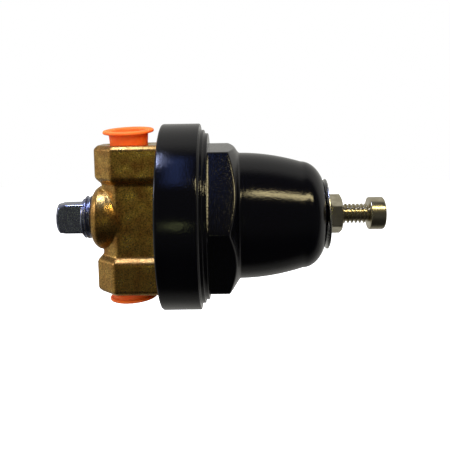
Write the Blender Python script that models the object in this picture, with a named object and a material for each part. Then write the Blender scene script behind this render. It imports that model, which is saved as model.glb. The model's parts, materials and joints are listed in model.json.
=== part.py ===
"""Direct-acting pressure regulator valve: brass body, black spring chamber, adjusting screw.

The spring axis is +X, from the pipe plug to the adjusting screw.  The two pipe ports open
along +Z and -Z.  The origin is where the port axis meets the spring axis.  Dimensions are
millimetres here and every object is made in metres.
"""
import math

import bmesh
import bpy
from mathutils import Matrix, Vector

MM = 0.001

# Clearance left between pieces that touch on the real valve.
GAP = 0.3

# How finely round pieces are divided.
LARGE_SEGMENTS = 42
MEDIUM_SEGMENTS = 24
SMALL_SEGMENTS = 16
BORE_SEGMENTS = 30
PASSAGE_SEGMENTS = 18

# Quarter inch taper pipe thread over its crests: the radius grows 1 in 32.
PIPE_TAPER = 1.0 / 32.0
PIPE_R = 6.85

# Adjusting screw, a quarter inch over its thread.
SCREW_R = 3.175
SCREW_HOLE_R = SCREW_R + GAP

# Brass body: two port arms and a slimmer waist, all with the same chamfered left side.
ARM_HALF = 10.5
WAIST_HALF = 8.65
ARM_END_Z = 23.3
ARM_START_Z = 13.1
ARM_CHAMFER = 1.2
WAIST_Z = ARM_START_Z - (ARM_HALF - WAIST_HALF)
FACET = math.tan(math.radians(22.5))
BODY_EDGE = 0.35
FLANGE_R = 26.2
FLANGE_X = 12.2
SEAL_FACE_X = 17.0

# Boss that takes the pipe plug, a shallow dome with a turned mouth.
BOSS_X = -11.65
BOSS_MOUTH_R = 7.55
BOSS_SWELL_R = 10.1
BOSS_SWELL_X = -9.0
BOSS_LIP = 0.3
# How far the boss has drawn in from its widest radius, at places behind it.
BOSS_SIDE = ((2.0, 0.05), (4.0, 0.35), (6.0, 1.0), (7.5, 1.75), (8.5, 3.0))

# Ports, each with a tapered bore and a wide countersink at its mouth.
PORT_BORE_R = 6.35
PORT_DEPTH = 12.5
PORT_SINK_R = 7.1
PORT_SINK = 0.8
PASSAGE_R = 2.8
OUTLET_START_X = 3.0
OUTLET_END_Z = 4.6
INLET_START_X = -1.2
INLET_LEAN = 0.6

# Chambers inside the body.
SEAL_BAND = 5.2
SLIP_IN_R = FLANGE_R - SEAL_BAND
DISH_R = SLIP_IN_R - 1.0
DISH_X = 13.4
OUTLET_R = 5.2
SEAT_BORE_R = 4.7
SEAT_SHOULDER_X = 2.4
SEAT_NECK_R = 3.65
INLET_R = 5.2
INLET_END_X = 1.2

# Diaphragm and the slip ring that clamps it.
DIAPHRAGM_T = 0.8
DIAPHRAGM_R = FLANGE_R - 0.4
DIAPHRAGM_X = SEAL_FACE_X + GAP
CONVOLUTION_H = 1.1
SLIP_T = 0.6
SLIP_X = DIAPHRAGM_X + DIAPHRAGM_T + GAP
SHOULDER_X = SLIP_X + SLIP_T + GAP

# Spring chamber: skirt ring, two steps, wrench hexagon and dome.
RING_WALL = 3.0
RING_BORE_R = FLANGE_R + GAP
RING_R = RING_BORE_R + RING_WALL
RING_X0 = 10.6
RING_X1 = 22.7
RING_BEVEL = 0.7
STEP1_R = RING_R - 2.0
STEP1_X = 24.0
STEP2_R = STEP1_R - 1.1
STEP2_X = 25.2
DOME_X0 = 34.6
DOME_R0 = 20.0
HEX_RISE = 2.0
HEX_ACROSS = 2.0 * (DOME_R0 + HEX_RISE)
HEX_X1 = 33.2
HEX_TURN = 27.0
DOME_BARREL = 0.0077
NOSE_X0 = 54.5
NOSE_X1 = 62.1
NOSE_FLAT_R = 5.9
CHAMBER_WALL = 2.6
CHAMBER_END_WALL = 3.9
THROAT_T = 2.0
THROAT_TAPER = 3.5

# Pieces on the adjusting screw.
DISC_R = 11.2
DISC_T = 0.6
DISC_X = NOSE_X1 + GAP
NUT_ACROSS = 11.1
NUT_T = 4.0
NUT_X = DISC_X + DISC_T + GAP
NUT_TURN = 0.0
SCREW_HEAD_R = 5.2
SCREW_HEAD_X = 76.0
SCREW_HEAD_T = 5.1
SCREW_NECK = 0.7
SCREW_SOCKET_ACROSS = 4.0
SCREW_SOCKET_TURN = 12.0
SCREW_SOCKET_DEPTH = 2.8
BALL_R = 1.9

# Pipe plug with a square head.
PLUG_SQUARE = 9.2
PLUG_HEAD_X0 = -23.0
PLUG_HEAD_X1 = -15.0
PLUG_TURN = 1.0
PLUG_END_X = -5.0
PLUG_BORE_R = 3.3
PLUG_BORE_DEPTH = 5.0

# Main spring and the two seats that hold it.
SPRING_R = 11.2
SPRING_WIRE_R = 1.15
SPRING_COILS = 4.0
SPRING_END_COILS = 0.8
SPRING_LENGTH = 24.4
PLATE_R = 13.6
PLATE_T = 1.7
PLATE_HUB_R = 9.2
PLATE_HUB_T = 2.0
PLATE_MOUTH_R = 7.2
PLATE_RECESS_R = 6.0
PLATE_X = DIAPHRAGM_X + DIAPHRAGM_T + GAP
CONVOLUTION_R = (PLATE_R + SLIP_IN_R) / 2
CONVOLUTION_W = 0.27 * (SLIP_IN_R - PLATE_R)
CONVOLUTION_EASE = 0.45 * CONVOLUTION_W
CONVOLUTION_CREST = 0.85 * CONVOLUTION_W
BUTTON_R = 12.8
BUTTON_T = 2.2
BUTTON_HUB_R = 9.2
BUTTON_HUB_T = 2.2
BUTTON_BOSS_R = 6.0
BUTTON_BOSS_T = 3.0

# Stem, diaphragm nut and washer.
STEM_R = 1.2
STEM_THREAD_R = 2.0
STEM_COLLAR_R = 3.4
WASHER_R = 11.5
WASHER_T = 1.2
STEM_NUT_ACROSS = 7.0
STEM_NUT_T = 3.0
STEM_NUT_TURN = 15.0

# Seat, poppet and return spring.
SEAT_R = SEAT_BORE_R - GAP
SEAT_NOSE_R = SEAT_NECK_R - GAP
SEAT_ORIFICE_R = 2.2
SEAT_T = 2.1
GASKET_T = 0.5
POPPET_R = 4.3
POPPET_X0 = -3.2
POPPET_RIM_X = 0.5
POPPET_TAIL_R = 1.5
POPPET_TAIL = 2.6
POPPET_CUP_R = 3.6
POPPET_CUP_DEPTH = 1.3
DISC_SEAL_T = 1.5
RETURN_R = 2.45
RETURN_WIRE_R = 0.3
RETURN_COILS = 3.4

# Stem guide with its flow holes, and the inlet screen.
GUIDE_X = 8.6
GUIDE_T = 2.4
GUIDE_HOLES = 4
GUIDE_HOLE_R = 0.85
SCREEN_T = 0.5
SCREEN_HOLE_R = 0.65
SCREEN_Z = 11.4

# Push-in caps of soft plastic.
CAP_FLANGE_R = 8.1
CAP_FLANGE_T = 0.9
UPPER_CAP_STAND_OFF = 3.7
LOWER_CAP_STAND_OFF = 2.4
CAP_TOP_R = 6.25
CAP_FACE_R = 5.95
CAP_TIP_R = 5.5
CAP_REACH = 7.2
CAP_WALL = 1.0
CAP_TILT = 1.4

COLOURS = {
    "brass": ((0.42, 0.28, 0.10), 0.38, 1.0),
    "turned_brass": ((0.62, 0.45, 0.18), 0.25, 1.0),
    "black_enamel": ((0.010, 0.011, 0.018), 0.28, 0.0),
    "zinc_steel": ((0.55, 0.60, 0.66), 0.24, 1.0),
    "stainless": ((0.62, 0.60, 0.56), 0.22, 1.0),
    "aluminium": ((0.72, 0.72, 0.70), 0.35, 1.0),
    "spring_steel": ((0.20, 0.20, 0.21), 0.35, 1.0),
    "rubber": ((0.020, 0.020, 0.021), 0.70, 0.0),
    "fibre": ((0.36, 0.30, 0.20), 0.80, 0.0),
    "orange_plastic": ((0.86, 0.14, 0.02), 0.45, 0.0),
}


def clear_scene():
    """Remove whatever the scene starts with."""
    for obj in list(bpy.data.objects):
        bpy.data.objects.remove(obj, do_unlink=True)


def material(name):
    """Return the named finish, made once."""
    found = bpy.data.materials.get(name)
    if found:
        return found
    colour, roughness, metallic = COLOURS[name]
    made = bpy.data.materials.new(name)
    made.use_nodes = True
    shader = made.node_tree.nodes["Principled BSDF"]
    shader.inputs["Base Color"].default_value = (*colour, 1.0)
    shader.inputs["Roughness"].default_value = roughness
    shader.inputs["Metallic"].default_value = metallic
    made.diffuse_color = (*colour, 1.0)
    return made


def add_object(name, bm, finish, smooth=True):
    """Turn an edited mesh, drawn in millimetres, into a named object in metres."""
    bmesh.ops.recalc_face_normals(bm, faces=bm.faces)
    bmesh.ops.scale(bm, vec=(MM, MM, MM), verts=bm.verts)
    for face in bm.faces:
        face.smooth = smooth
    mesh = bpy.data.meshes.new(name)
    bm.to_mesh(mesh)
    bm.free()
    if smooth:
        mesh.set_sharp_from_angle(angle=math.radians(32))
    obj = bpy.data.objects.new(name, mesh)
    bpy.context.scene.collection.objects.link(obj)
    if finish:
        mesh.materials.append(material(finish))
    return obj


def add_cutter(name, bm):
    """Make a helper solid that only shapes another piece."""
    obj = add_object(name, bm, None, smooth=False)
    obj.hide_render = True
    obj.display_type = "WIRE"
    return obj


def boolean(obj, tool, operation):
    """Let one solid cut, join or trim another."""
    modifier = obj.modifiers.new(tool.name, "BOOLEAN")
    modifier.operation = operation
    modifier.solver = "EXACT"
    modifier.object = tool


def turned(profile, segments):
    """Spin a profile of (x, radius) points round the X axis.

    A profile that starts and ends on the axis makes a solid piece, and any other profile is
    joined end to end, which leaves a hole along the axis.
    """
    bm = bmesh.new()
    verts = [bm.verts.new((x, 0.0, r)) for x, r in profile]
    edges = [bm.edges.new(pair) for pair in zip(verts, verts[1:])]
    if profile[0][1] > 0 and profile[-1][1] > 0:
        edges.append(bm.edges.new((verts[-1], verts[0])))
    bmesh.ops.spin(
        bm,
        geom=verts + edges,
        cent=(0, 0, 0),
        axis=(1, 0, 0),
        angle=2 * math.pi,
        steps=segments,
        use_merge=True,
    )
    bmesh.ops.remove_doubles(bm, verts=bm.verts, dist=1e-5)
    return bm


def prism(outline, low, high):
    """Raise an outline of (y, z) points along X from low to high."""
    bm = bmesh.new()
    face = bm.faces.new([bm.verts.new((low, y, z)) for y, z in outline])
    raised = bmesh.ops.extrude_face_region(bm, geom=[face])
    verts = [v for v in raised["geom"] if isinstance(v, bmesh.types.BMVert)]
    bmesh.ops.translate(bm, vec=(high - low, 0, 0), verts=verts)
    return bm


def polygon(sides, across, turn):
    """Outline of a regular polygon in Y and Z; one flat faces the given elevation from -Y."""
    radius = across / 2 / math.cos(math.pi / sides)
    points = []
    for number in range(sides):
        angle = math.radians(turn) + math.pi / sides * (2 * number + 1)
        points.append((-radius * math.cos(angle), radius * math.sin(angle)))
    return points


def loft(rings):
    """Skin a stack of closed rings that have the same number of points."""
    bm = bmesh.new()
    loops = [[bm.verts.new(p) for p in ring] for ring in rings]
    for lower, upper in zip(loops, loops[1:]):
        count = len(lower)
        for i in range(count):
            j = (i + 1) % count
            bm.faces.new((lower[i], lower[j], upper[j], upper[i]))
    bm.faces.new(loops[0])
    bm.faces.new(loops[-1])
    return bm


def coil(radius, wire, start, length, coils, end_coils, per_turn, sides):
    """Round-wire compression spring along X with closed end coils."""
    close = 2.16 * wire
    low, high = start + wire, start + length - wire
    active = (high - low - 2 * end_coils * close) / coils
    total = coils + 2 * end_coils
    steps = round(total * per_turn)
    bm = bmesh.new()
    loops = []
    for step in range(steps + 1):
        turn = total * step / steps
        closed = min(turn, end_coils) + max(0.0, turn - end_coils - coils)
        open_turns = min(max(turn - end_coils, 0.0), coils)
        x = low + closed * close + open_turns * active
        angle = 2 * math.pi * turn
        ring = []
        for side in range(sides):
            phase = 2 * math.pi * side / sides
            reach = radius + wire * math.cos(phase)
            ring.append(
                bm.verts.new(
                    (
                        x + wire * math.sin(phase),
                        reach * math.cos(angle),
                        reach * math.sin(angle),
                    )
                )
            )
        loops.append(ring)
    for first, second in zip(loops, loops[1:]):
        for side in range(sides):
            other = (side + 1) % sides
            bm.faces.new((first[side], first[other], second[other], second[side]))
    bm.faces.new(loops[0])
    bm.faces.new(loops[-1])
    return bm


def arm_section(half, z):
    """One level of the body: flat front, back and left faces with 45 degree facets between."""
    right = FLANGE_X + 1.0
    step = half * FACET
    return [
        (right, -half, z),
        (right, half, z),
        (-step, half, z),
        (-half, step, z),
        (-half, -step, z),
        (-step, -half, z),
    ]


def drill(start, end, radius, segments):
    """Round hole between two points."""
    bm = bmesh.new()
    way = Vector(end) - Vector(start)
    turn = Vector((0, 0, 1)).rotation_difference(way).to_matrix().to_4x4()
    bmesh.ops.create_cone(
        bm,
        cap_ends=True,
        segments=segments,
        radius1=radius,
        radius2=radius,
        depth=way.length,
        matrix=Matrix.Translation((Vector(start) + Vector(end)) / 2) @ turn,
    )
    return bm


def port_cutter(sign):
    """Tapered port bore, drawn along X and turned to the port axis."""
    bottom = ARM_END_Z - PORT_DEPTH
    profile = [
        (bottom - 0.9, 0.0),
        (bottom, PORT_BORE_R - PORT_DEPTH * PIPE_TAPER),
        (ARM_END_Z - PORT_SINK, PORT_BORE_R),
        (ARM_END_Z, PORT_SINK_R),
        (ARM_END_Z + 1.0, PORT_SINK_R),
        (ARM_END_Z + 1.0, 0.0),
    ]
    side = "upper" if sign > 0 else "lower"
    cutter = add_cutter(f"cut_{side}_port", turned(profile, BORE_SEGMENTS))
    cutter.rotation_euler = (0, -sign * math.pi / 2, 0)
    return cutter


def build_body():
    """Brass body with its arms, waist, plug boss, diaphragm flange and inner chambers."""
    end_half = ARM_HALF - ARM_CHAMFER
    levels = [
        (end_half, ARM_END_Z),
        (ARM_HALF, ARM_END_Z - ARM_CHAMFER),
        (ARM_HALF, ARM_START_Z),
        (WAIST_HALF, WAIST_Z),
    ]
    rings = [arm_section(half, -z) for half, z in levels]
    rings += [arm_section(half, z) for half, z in reversed(levels)]
    body = add_object("valve_body", loft(rings), "brass", smooth=False)
    edges = body.modifiers.new("worn_edges", "BEVEL")
    edges.width = BODY_EDGE * MM
    edges.segments = 1
    edges.limit_method = "ANGLE"
    edges.angle_limit = math.radians(30)

    swell = BOSS_SWELL_R - BOSS_MOUTH_R
    flare = []
    for step in range(5):
        angle = math.pi / 2 * step / 4
        flare.append(
            (
                BOSS_SWELL_X - (BOSS_SWELL_X - BOSS_X - 0.25) * math.cos(angle),
                BOSS_MOUTH_R + BOSS_LIP + (swell - BOSS_LIP) * math.sin(angle),
            )
        )
    boss = [(BOSS_X, 0.0), (BOSS_X, BOSS_MOUTH_R), *flare]
    boss += [(BOSS_SWELL_X + back, BOSS_SWELL_R - drop) for back, drop in BOSS_SIDE]
    boss.append((boss[-1][0], 0.0))
    boss_blank = add_cutter("join_boss", turned(boss, LARGE_SEGMENTS))
    boolean(body, boss_blank, "UNION")

    flange = [
        (FLANGE_X, 0.0),
        (FLANGE_X, FLANGE_R - 0.5),
        (FLANGE_X + 0.5, FLANGE_R),
        (SEAL_FACE_X, FLANGE_R),
        (SEAL_FACE_X, 0.0),
    ]
    boolean(body, add_cutter("join_flange", turned(flange, LARGE_SEGMENTS)), "UNION")

    sink = PIPE_R + GAP
    plug_hole = PIPE_R - 0.35 + GAP
    bores = [
        (BOSS_X - 1.0, 0.0),
        (BOSS_X - 1.0, sink),
        (BOSS_X + 0.7, sink),
        (BOSS_X + 0.9, plug_hole),
        (PLUG_END_X + 0.6, plug_hole + (BOSS_X - PLUG_END_X) * PIPE_TAPER),
        (PLUG_END_X + 1.2, INLET_R),
        (INLET_END_X, INLET_R),
        (INLET_END_X, SEAT_NECK_R),
        (SEAT_SHOULDER_X, SEAT_NECK_R),
        (SEAT_SHOULDER_X, SEAT_BORE_R),
        (GUIDE_X - GAP - 0.6, SEAT_BORE_R),
        (GUIDE_X - GAP, OUTLET_R),
        (DISH_X - 0.6, OUTLET_R),
        (DISH_X, OUTLET_R + 2.6),
        (DISH_X + 0.9, DISH_R - 1.0),
        (SEAL_FACE_X - 0.8, DISH_R),
        (SEAL_FACE_X, DISH_R + 0.6),
        (SEAL_FACE_X + 1.0, DISH_R + 0.6),
        (SEAL_FACE_X + 1.0, 0.0),
    ]
    boolean(body, add_cutter("cut_axis_bores", turned(bores, BORE_SEGMENTS)), "DIFFERENCE")
    boolean(body, port_cutter(1), "DIFFERENCE")
    boolean(body, port_cutter(-1), "DIFFERENCE")
    floor = ARM_END_Z - PORT_DEPTH
    outlet = drill(
        (OUTLET_START_X, 0, floor + 0.5),
        (DISH_X - 2.6, 0, OUTLET_END_Z),
        PASSAGE_R,
        PASSAGE_SEGMENTS,
    )
    boolean(body, add_cutter("cut_outlet_passage", outlet), "DIFFERENCE")
    inlet = drill(
        (INLET_START_X, 0, -floor - 0.5),
        (INLET_START_X - INLET_LEAN, 0, -INLET_R + 2.0),
        PASSAGE_R,
        PASSAGE_SEGMENTS,
    )
    boolean(body, add_cutter("cut_inlet_passage", inlet), "DIFFERENCE")
    return body


def build_plug():
    """Square-headed taper pipe plug, hollow inside to hold the return spring."""
    thread_end = BOSS_X + 0.55
    inner = PIPE_R - 0.35
    drop = (PLUG_END_X - BOSS_X) * PIPE_TAPER
    shank = [
        (PLUG_HEAD_X1, 0.0),
        (PLUG_HEAD_X1, PIPE_R - 0.9),
        (PLUG_HEAD_X1 + 0.8, PIPE_R),
        (thread_end, PIPE_R),
        (thread_end + 0.3, inner - 0.1),
        (PLUG_END_X - 0.6, inner - drop),
        (PLUG_END_X, inner - drop - 0.6),
        (PLUG_END_X, PLUG_BORE_R),
        (PLUG_END_X - PLUG_BORE_DEPTH, PLUG_BORE_R),
        (PLUG_END_X - PLUG_BORE_DEPTH, 0.0),
    ]
    plug = add_object("pipe_plug", turned(shank, MEDIUM_SEGMENTS), "zinc_steel")
    head = add_cutter(
        "join_square_head",
        prism(polygon(4, PLUG_SQUARE, PLUG_TURN), PLUG_HEAD_X0, PLUG_HEAD_X1 + 0.4),
    )
    corner = PLUG_SQUARE / math.sqrt(2)
    rounding = [
        (PLUG_HEAD_X0 - 0.1, 0.0),
        (PLUG_HEAD_X0, corner - 1.9),
        (PLUG_HEAD_X0 + 0.5, corner - 1.1),
        (PLUG_HEAD_X0 + 1.4, corner - 0.4),
        (PLUG_HEAD_X0 + 2.4, corner - 0.15),
        (PLUG_HEAD_X1 + 1.0, corner - 0.15),
        (PLUG_HEAD_X1 + 1.0, 0.0),
    ]
    trim = add_cutter("trim_square_head", turned(rounding, MEDIUM_SEGMENTS))
    boolean(head, trim, "INTERSECT")
    boolean(plug, head, "UNION")
    return plug


def dome_radius(x):
    """Outer radius of the barrel-shaped part of the dome."""
    return DOME_R0 - DOME_BARREL * (x - DOME_X0) ** 2


def nose_arc(inset, end_inset, steps):
    """Rounded nose of the dome as (x, radius) points, moved inward by a wall thickness."""
    top = dome_radius(NOSE_X0) - inset
    low = NOSE_FLAT_R if inset == 0 else SCREW_HOLE_R + 1.6
    end = NOSE_X1 - end_inset
    points = []
    for step in range(steps + 1):
        angle = math.pi / 2 * step / steps
        points.append(
            (
                NOSE_X0 + (end - NOSE_X0) * math.sin(angle),
                low + (top - low) * math.cos(angle),
            )
        )
    return points


def build_chamber():
    """Painted casting: skirt ring, steps, wrench hexagon and dome, hollow inside."""
    outer = [
        (RING_X0, 0.0),
        (RING_X0, RING_R - RING_BEVEL),
        (RING_X0 + RING_BEVEL, RING_R),
        (RING_X1 - RING_BEVEL, RING_R),
        (RING_X1, RING_R - RING_BEVEL),
        (RING_X1, STEP1_R),
        (STEP1_X, STEP1_R),
        (STEP1_X, STEP2_R),
        (STEP2_X, STEP2_R),
        (STEP2_X, DOME_R0 - 1.0),
        (HEX_X1 - 2.0, DOME_R0 - 1.0),
        (HEX_X1 - 1.6, DOME_R0 + HEX_RISE + 0.9),
        (HEX_X1 - 0.4, DOME_R0 + HEX_RISE - 0.3),
        (HEX_X1 + 0.6, DOME_R0 + 0.7),
    ]
    barrel = 4
    for step in range(barrel + 1):
        x = DOME_X0 + 0.4 + (NOSE_X0 - 1.0 - DOME_X0) * step / barrel
        outer.append((x, dome_radius(x)))
    outer += nose_arc(0.0, 0.0, 6)
    outer.append((NOSE_X1, 0.0))
    chamber = add_object("spring_chamber", turned(outer, LARGE_SEGMENTS), "black_enamel")

    hexagon = add_cutter(
        "join_hexagon",
        prism(polygon(6, HEX_ACROSS, HEX_TURN), STEP2_X - 0.6, HEX_X1),
    )
    corner = HEX_ACROSS / math.sqrt(3)
    chamfer = [
        (STEP2_X - 1.0, 0.0),
        (STEP2_X - 1.0, corner - 0.25),
        (HEX_X1 - 1.4, corner - 0.25),
        (HEX_X1 - 0.5, corner - 1.6),
        (HEX_X1, corner - 3.4),
        (HEX_X1 + 0.2, 0.0),
    ]
    trim = add_cutter("trim_hexagon", turned(chamfer, LARGE_SEGMENTS))
    boolean(hexagon, trim, "INTERSECT")
    boolean(chamber, hexagon, "UNION")

    bore = RING_BORE_R
    hollow_r = DOME_R0 - CHAMBER_WALL
    hollow = [
        (RING_X0 - 1.0, 0.0),
        (RING_X0 - 1.0, bore + 0.6),
        (RING_X0, bore + 0.6),
        (RING_X0 + 0.6, bore),
        (SHOULDER_X, bore),
        (SHOULDER_X, SLIP_IN_R - 0.3),
        (SHOULDER_X + THROAT_T, SLIP_IN_R - 0.3),
        (SHOULDER_X + THROAT_T + THROAT_TAPER, hollow_r),
        (DOME_X0, hollow_r),
    ]
    for step in range(1, 4):
        x = DOME_X0 + (NOSE_X0 - 1.0 - DOME_X0) * step / 3
        hollow.append((x, dome_radius(x) - CHAMBER_WALL))
    hollow += nose_arc(CHAMBER_WALL, CHAMBER_END_WALL, 4)
    hollow += [
        (NOSE_X1 - CHAMBER_END_WALL, SCREW_HOLE_R),
        (NOSE_X1 + 1.0, SCREW_HOLE_R),
        (NOSE_X1 + 1.0, 0.0),
    ]
    cutter = add_cutter("cut_spring_space", turned(hollow, MEDIUM_SEGMENTS))
    boolean(chamber, cutter, "DIFFERENCE")
    return chamber


def build_disc():
    """Thin bare disc, dished a little towards the nut as the real one is bent."""
    dish = 0.35
    half = (DISC_R + SCREW_HOLE_R) / 2
    profile = [
        (DISC_X, SCREW_HOLE_R + 0.1),
        (DISC_X, half),
        (DISC_X - dish, DISC_R - 0.3),
        (DISC_X - dish + 0.15, DISC_R),
        (DISC_X - dish + DISC_T - 0.15, DISC_R),
        (DISC_X + DISC_T, half),
        (DISC_X + DISC_T, SCREW_HOLE_R + 0.1),
    ]
    return add_object("name_disc", turned(profile, MEDIUM_SEGMENTS), "aluminium")


def hex_nut(name, across, low, high, hole, turn, finish):
    """Hexagon nut with both faces chamfered and a countersunk plain hole."""
    nut = add_object(name, prism(polygon(6, across, turn), low, high), finish, smooth=False)
    corner = across / math.sqrt(3)
    slope = corner - across / 2 + 0.15
    ends = [
        (low - 0.01, 0.0),
        (low - 0.01, corner - slope),
        (low + slope * 0.55, corner + 0.02),
        (high - slope * 0.55, corner + 0.02),
        (high + 0.01, corner - slope),
        (high + 0.01, 0.0),
    ]
    boolean(nut, add_cutter(f"trim_{name}", turned(ends, MEDIUM_SEGMENTS)), "INTERSECT")
    bore = [
        (low - 1.0, 0.0),
        (low - 1.0, hole + 0.5),
        (low, hole + 0.5),
        (low + 0.5, hole),
        (high - 0.5, hole),
        (high, hole + 0.5),
        (high + 1.0, hole + 0.5),
        (high + 1.0, 0.0),
    ]
    boolean(nut, add_cutter(f"bore_{name}", turned(bore, SMALL_SEGMENTS)), "DIFFERENCE")
    return nut


def spring_seats():
    """Where the main spring starts and ends, as x values."""
    start = PLATE_X + PLATE_T + GAP
    return start, start + SPRING_LENGTH


def build_adjuster():
    """Adjusting screw, lock nut, thrust ball and spring button."""
    _, spring_end = spring_seats()
    button_x = spring_end + GAP
    boss_end = button_x + BUTTON_T + BUTTON_BOSS_T
    pocket_floor = boss_end - BALL_R - 1.6
    pocket_r = BALL_R + 0.45
    hub_x = button_x - BUTTON_HUB_T
    profile = [
        (hub_x + 2.6, 0.0),
        (hub_x + 1.4, BUTTON_HUB_R - 3.4),
        (hub_x, BUTTON_HUB_R - 2.4),
        (hub_x, BUTTON_HUB_R - 0.6),
        (hub_x + 0.6, BUTTON_HUB_R),
        (button_x, BUTTON_HUB_R),
        (button_x, BUTTON_R),
        (button_x + BUTTON_T - 0.7, BUTTON_R),
        (button_x + BUTTON_T, BUTTON_R - 0.7),
        (button_x + BUTTON_T, BUTTON_BOSS_R + 1.0),
        (button_x + BUTTON_T + 1.0, BUTTON_BOSS_R),
        (boss_end, BUTTON_BOSS_R),
        (boss_end, pocket_r + 0.4),
        (boss_end - 0.4, pocket_r),
        (pocket_floor + 0.9, pocket_r),
        (pocket_floor, 0.0),
    ]
    add_object("spring_button", turned(profile, MEDIUM_SEGMENTS), "zinc_steel")

    centre = pocket_floor + BALL_R + GAP + 0.25
    ball = []
    for step in range(7):
        angle = math.pi * step / 6
        ball.append((centre - BALL_R * math.cos(angle), BALL_R * math.sin(angle)))
    ball[0] = (ball[0][0], 0.0)
    ball[-1] = (ball[-1][0], 0.0)
    add_object("thrust_ball", turned(ball, 12), "stainless")

    tip = centre + BALL_R + GAP
    head_end = SCREW_HEAD_X + SCREW_HEAD_T
    neck = SCREW_R - SCREW_NECK
    shank = [
        (tip, 0.0),
        (tip, neck - 0.8),
        (tip + 0.9, neck),
        (tip + 1.6, SCREW_R),
        (SCREW_HEAD_X - 1.2, SCREW_R),
        (SCREW_HEAD_X - 0.5, neck),
        (SCREW_HEAD_X, neck),
        (SCREW_HEAD_X, SCREW_HEAD_R - 0.4),
        (SCREW_HEAD_X + 0.4, SCREW_HEAD_R),
        (head_end - 0.9, SCREW_HEAD_R),
        (head_end - 0.25, SCREW_HEAD_R - 0.45),
        (head_end, SCREW_HEAD_R - 1.1),
        (head_end, 0.0),
    ]
    screw = add_object("adjusting_screw", turned(shank, MEDIUM_SEGMENTS), "stainless")
    socket = prism(
        polygon(6, SCREW_SOCKET_ACROSS, SCREW_SOCKET_TURN),
        head_end - SCREW_SOCKET_DEPTH,
        head_end + 1.0,
    )
    boolean(screw, add_cutter("cut_socket", socket), "DIFFERENCE")
    hex_nut(
        "lock_nut", NUT_ACROSS, NUT_X, NUT_X + NUT_T, SCREW_HOLE_R, NUT_TURN, "stainless"
    )


def build_diaphragm():
    """Rolled diaphragm with its slip ring, washer, plate and nut."""
    low = CONVOLUTION_R - CONVOLUTION_W
    high = CONVOLUTION_R + CONVOLUTION_W
    hole = STEM_THREAD_R + GAP
    shape = [(hole, 0.0), (low - CONVOLUTION_EASE, 0.0), (low, 0.25)]
    for step in range(1, 4):
        angle = math.pi * step / 4
        shape.append(
            (
                CONVOLUTION_R - CONVOLUTION_CREST * math.cos(angle),
                0.25 + (CONVOLUTION_H - 0.25) * math.sin(angle),
            )
        )
    shape += [(high, 0.25), (high + CONVOLUTION_EASE, 0.0), (DIAPHRAGM_R, 0.0)]
    profile = [(DIAPHRAGM_X + rise, r) for r, rise in shape]
    profile += [(DIAPHRAGM_X + DIAPHRAGM_T + rise, r) for r, rise in reversed(shape)]
    add_object("diaphragm", turned(profile, MEDIUM_SEGMENTS), "rubber")

    ring = [
        (SLIP_X, SLIP_IN_R),
        (SLIP_X, DIAPHRAGM_R),
        (SLIP_X + SLIP_T, DIAPHRAGM_R),
        (SLIP_X + SLIP_T, SLIP_IN_R),
    ]
    add_object("slip_ring", turned(ring, MEDIUM_SEGMENTS), "turned_brass")

    washer_x = DIAPHRAGM_X - GAP - WASHER_T
    washer = [
        (washer_x, hole),
        (washer_x, WASHER_R - 0.5),
        (washer_x + 0.5, WASHER_R),
        (washer_x + WASHER_T, WASHER_R),
        (washer_x + WASHER_T, hole),
    ]
    add_object("diaphragm_washer", turned(washer, MEDIUM_SEGMENTS), "turned_brass")

    hub_x = PLATE_X + PLATE_T + PLATE_HUB_T
    plate = [
        (PLATE_X, hole),
        (PLATE_X, PLATE_R - 0.6),
        (PLATE_X + 0.6, PLATE_R),
        (PLATE_X + PLATE_T, PLATE_R),
        (PLATE_X + PLATE_T, PLATE_HUB_R),
        (hub_x - 0.6, PLATE_HUB_R),
        (hub_x, PLATE_HUB_R - 0.6),
        (hub_x, PLATE_MOUTH_R),
        (PLATE_X + PLATE_T, PLATE_RECESS_R),
        (PLATE_X + PLATE_T, hole),
    ]
    add_object("diaphragm_plate", turned(plate, MEDIUM_SEGMENTS), "zinc_steel")
    nut_x = PLATE_X + PLATE_T + GAP
    hex_nut(
        "diaphragm_nut",
        STEM_NUT_ACROSS,
        nut_x,
        nut_x + STEM_NUT_T,
        hole,
        STEM_NUT_TURN,
        "turned_brass",
    )

    collar_end = washer_x - GAP
    thread_end = nut_x + STEM_NUT_T + 1.2
    poppet_seat = POPPET_X0 + 1.0
    stem = [
        (poppet_seat, 0.0),
        (poppet_seat, STEM_R - 0.2),
        (poppet_seat + 0.2, STEM_R),
        (collar_end - 2.2, STEM_R),
        (collar_end - 1.2, STEM_COLLAR_R),
        (collar_end, STEM_COLLAR_R),
        (collar_end, STEM_THREAD_R),
        (thread_end - 0.5, STEM_THREAD_R),
        (thread_end, STEM_THREAD_R - 0.5),
        (thread_end, 0.0),
    ]
    add_object("valve_stem", turned(stem, SMALL_SEGMENTS), "stainless")


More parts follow.
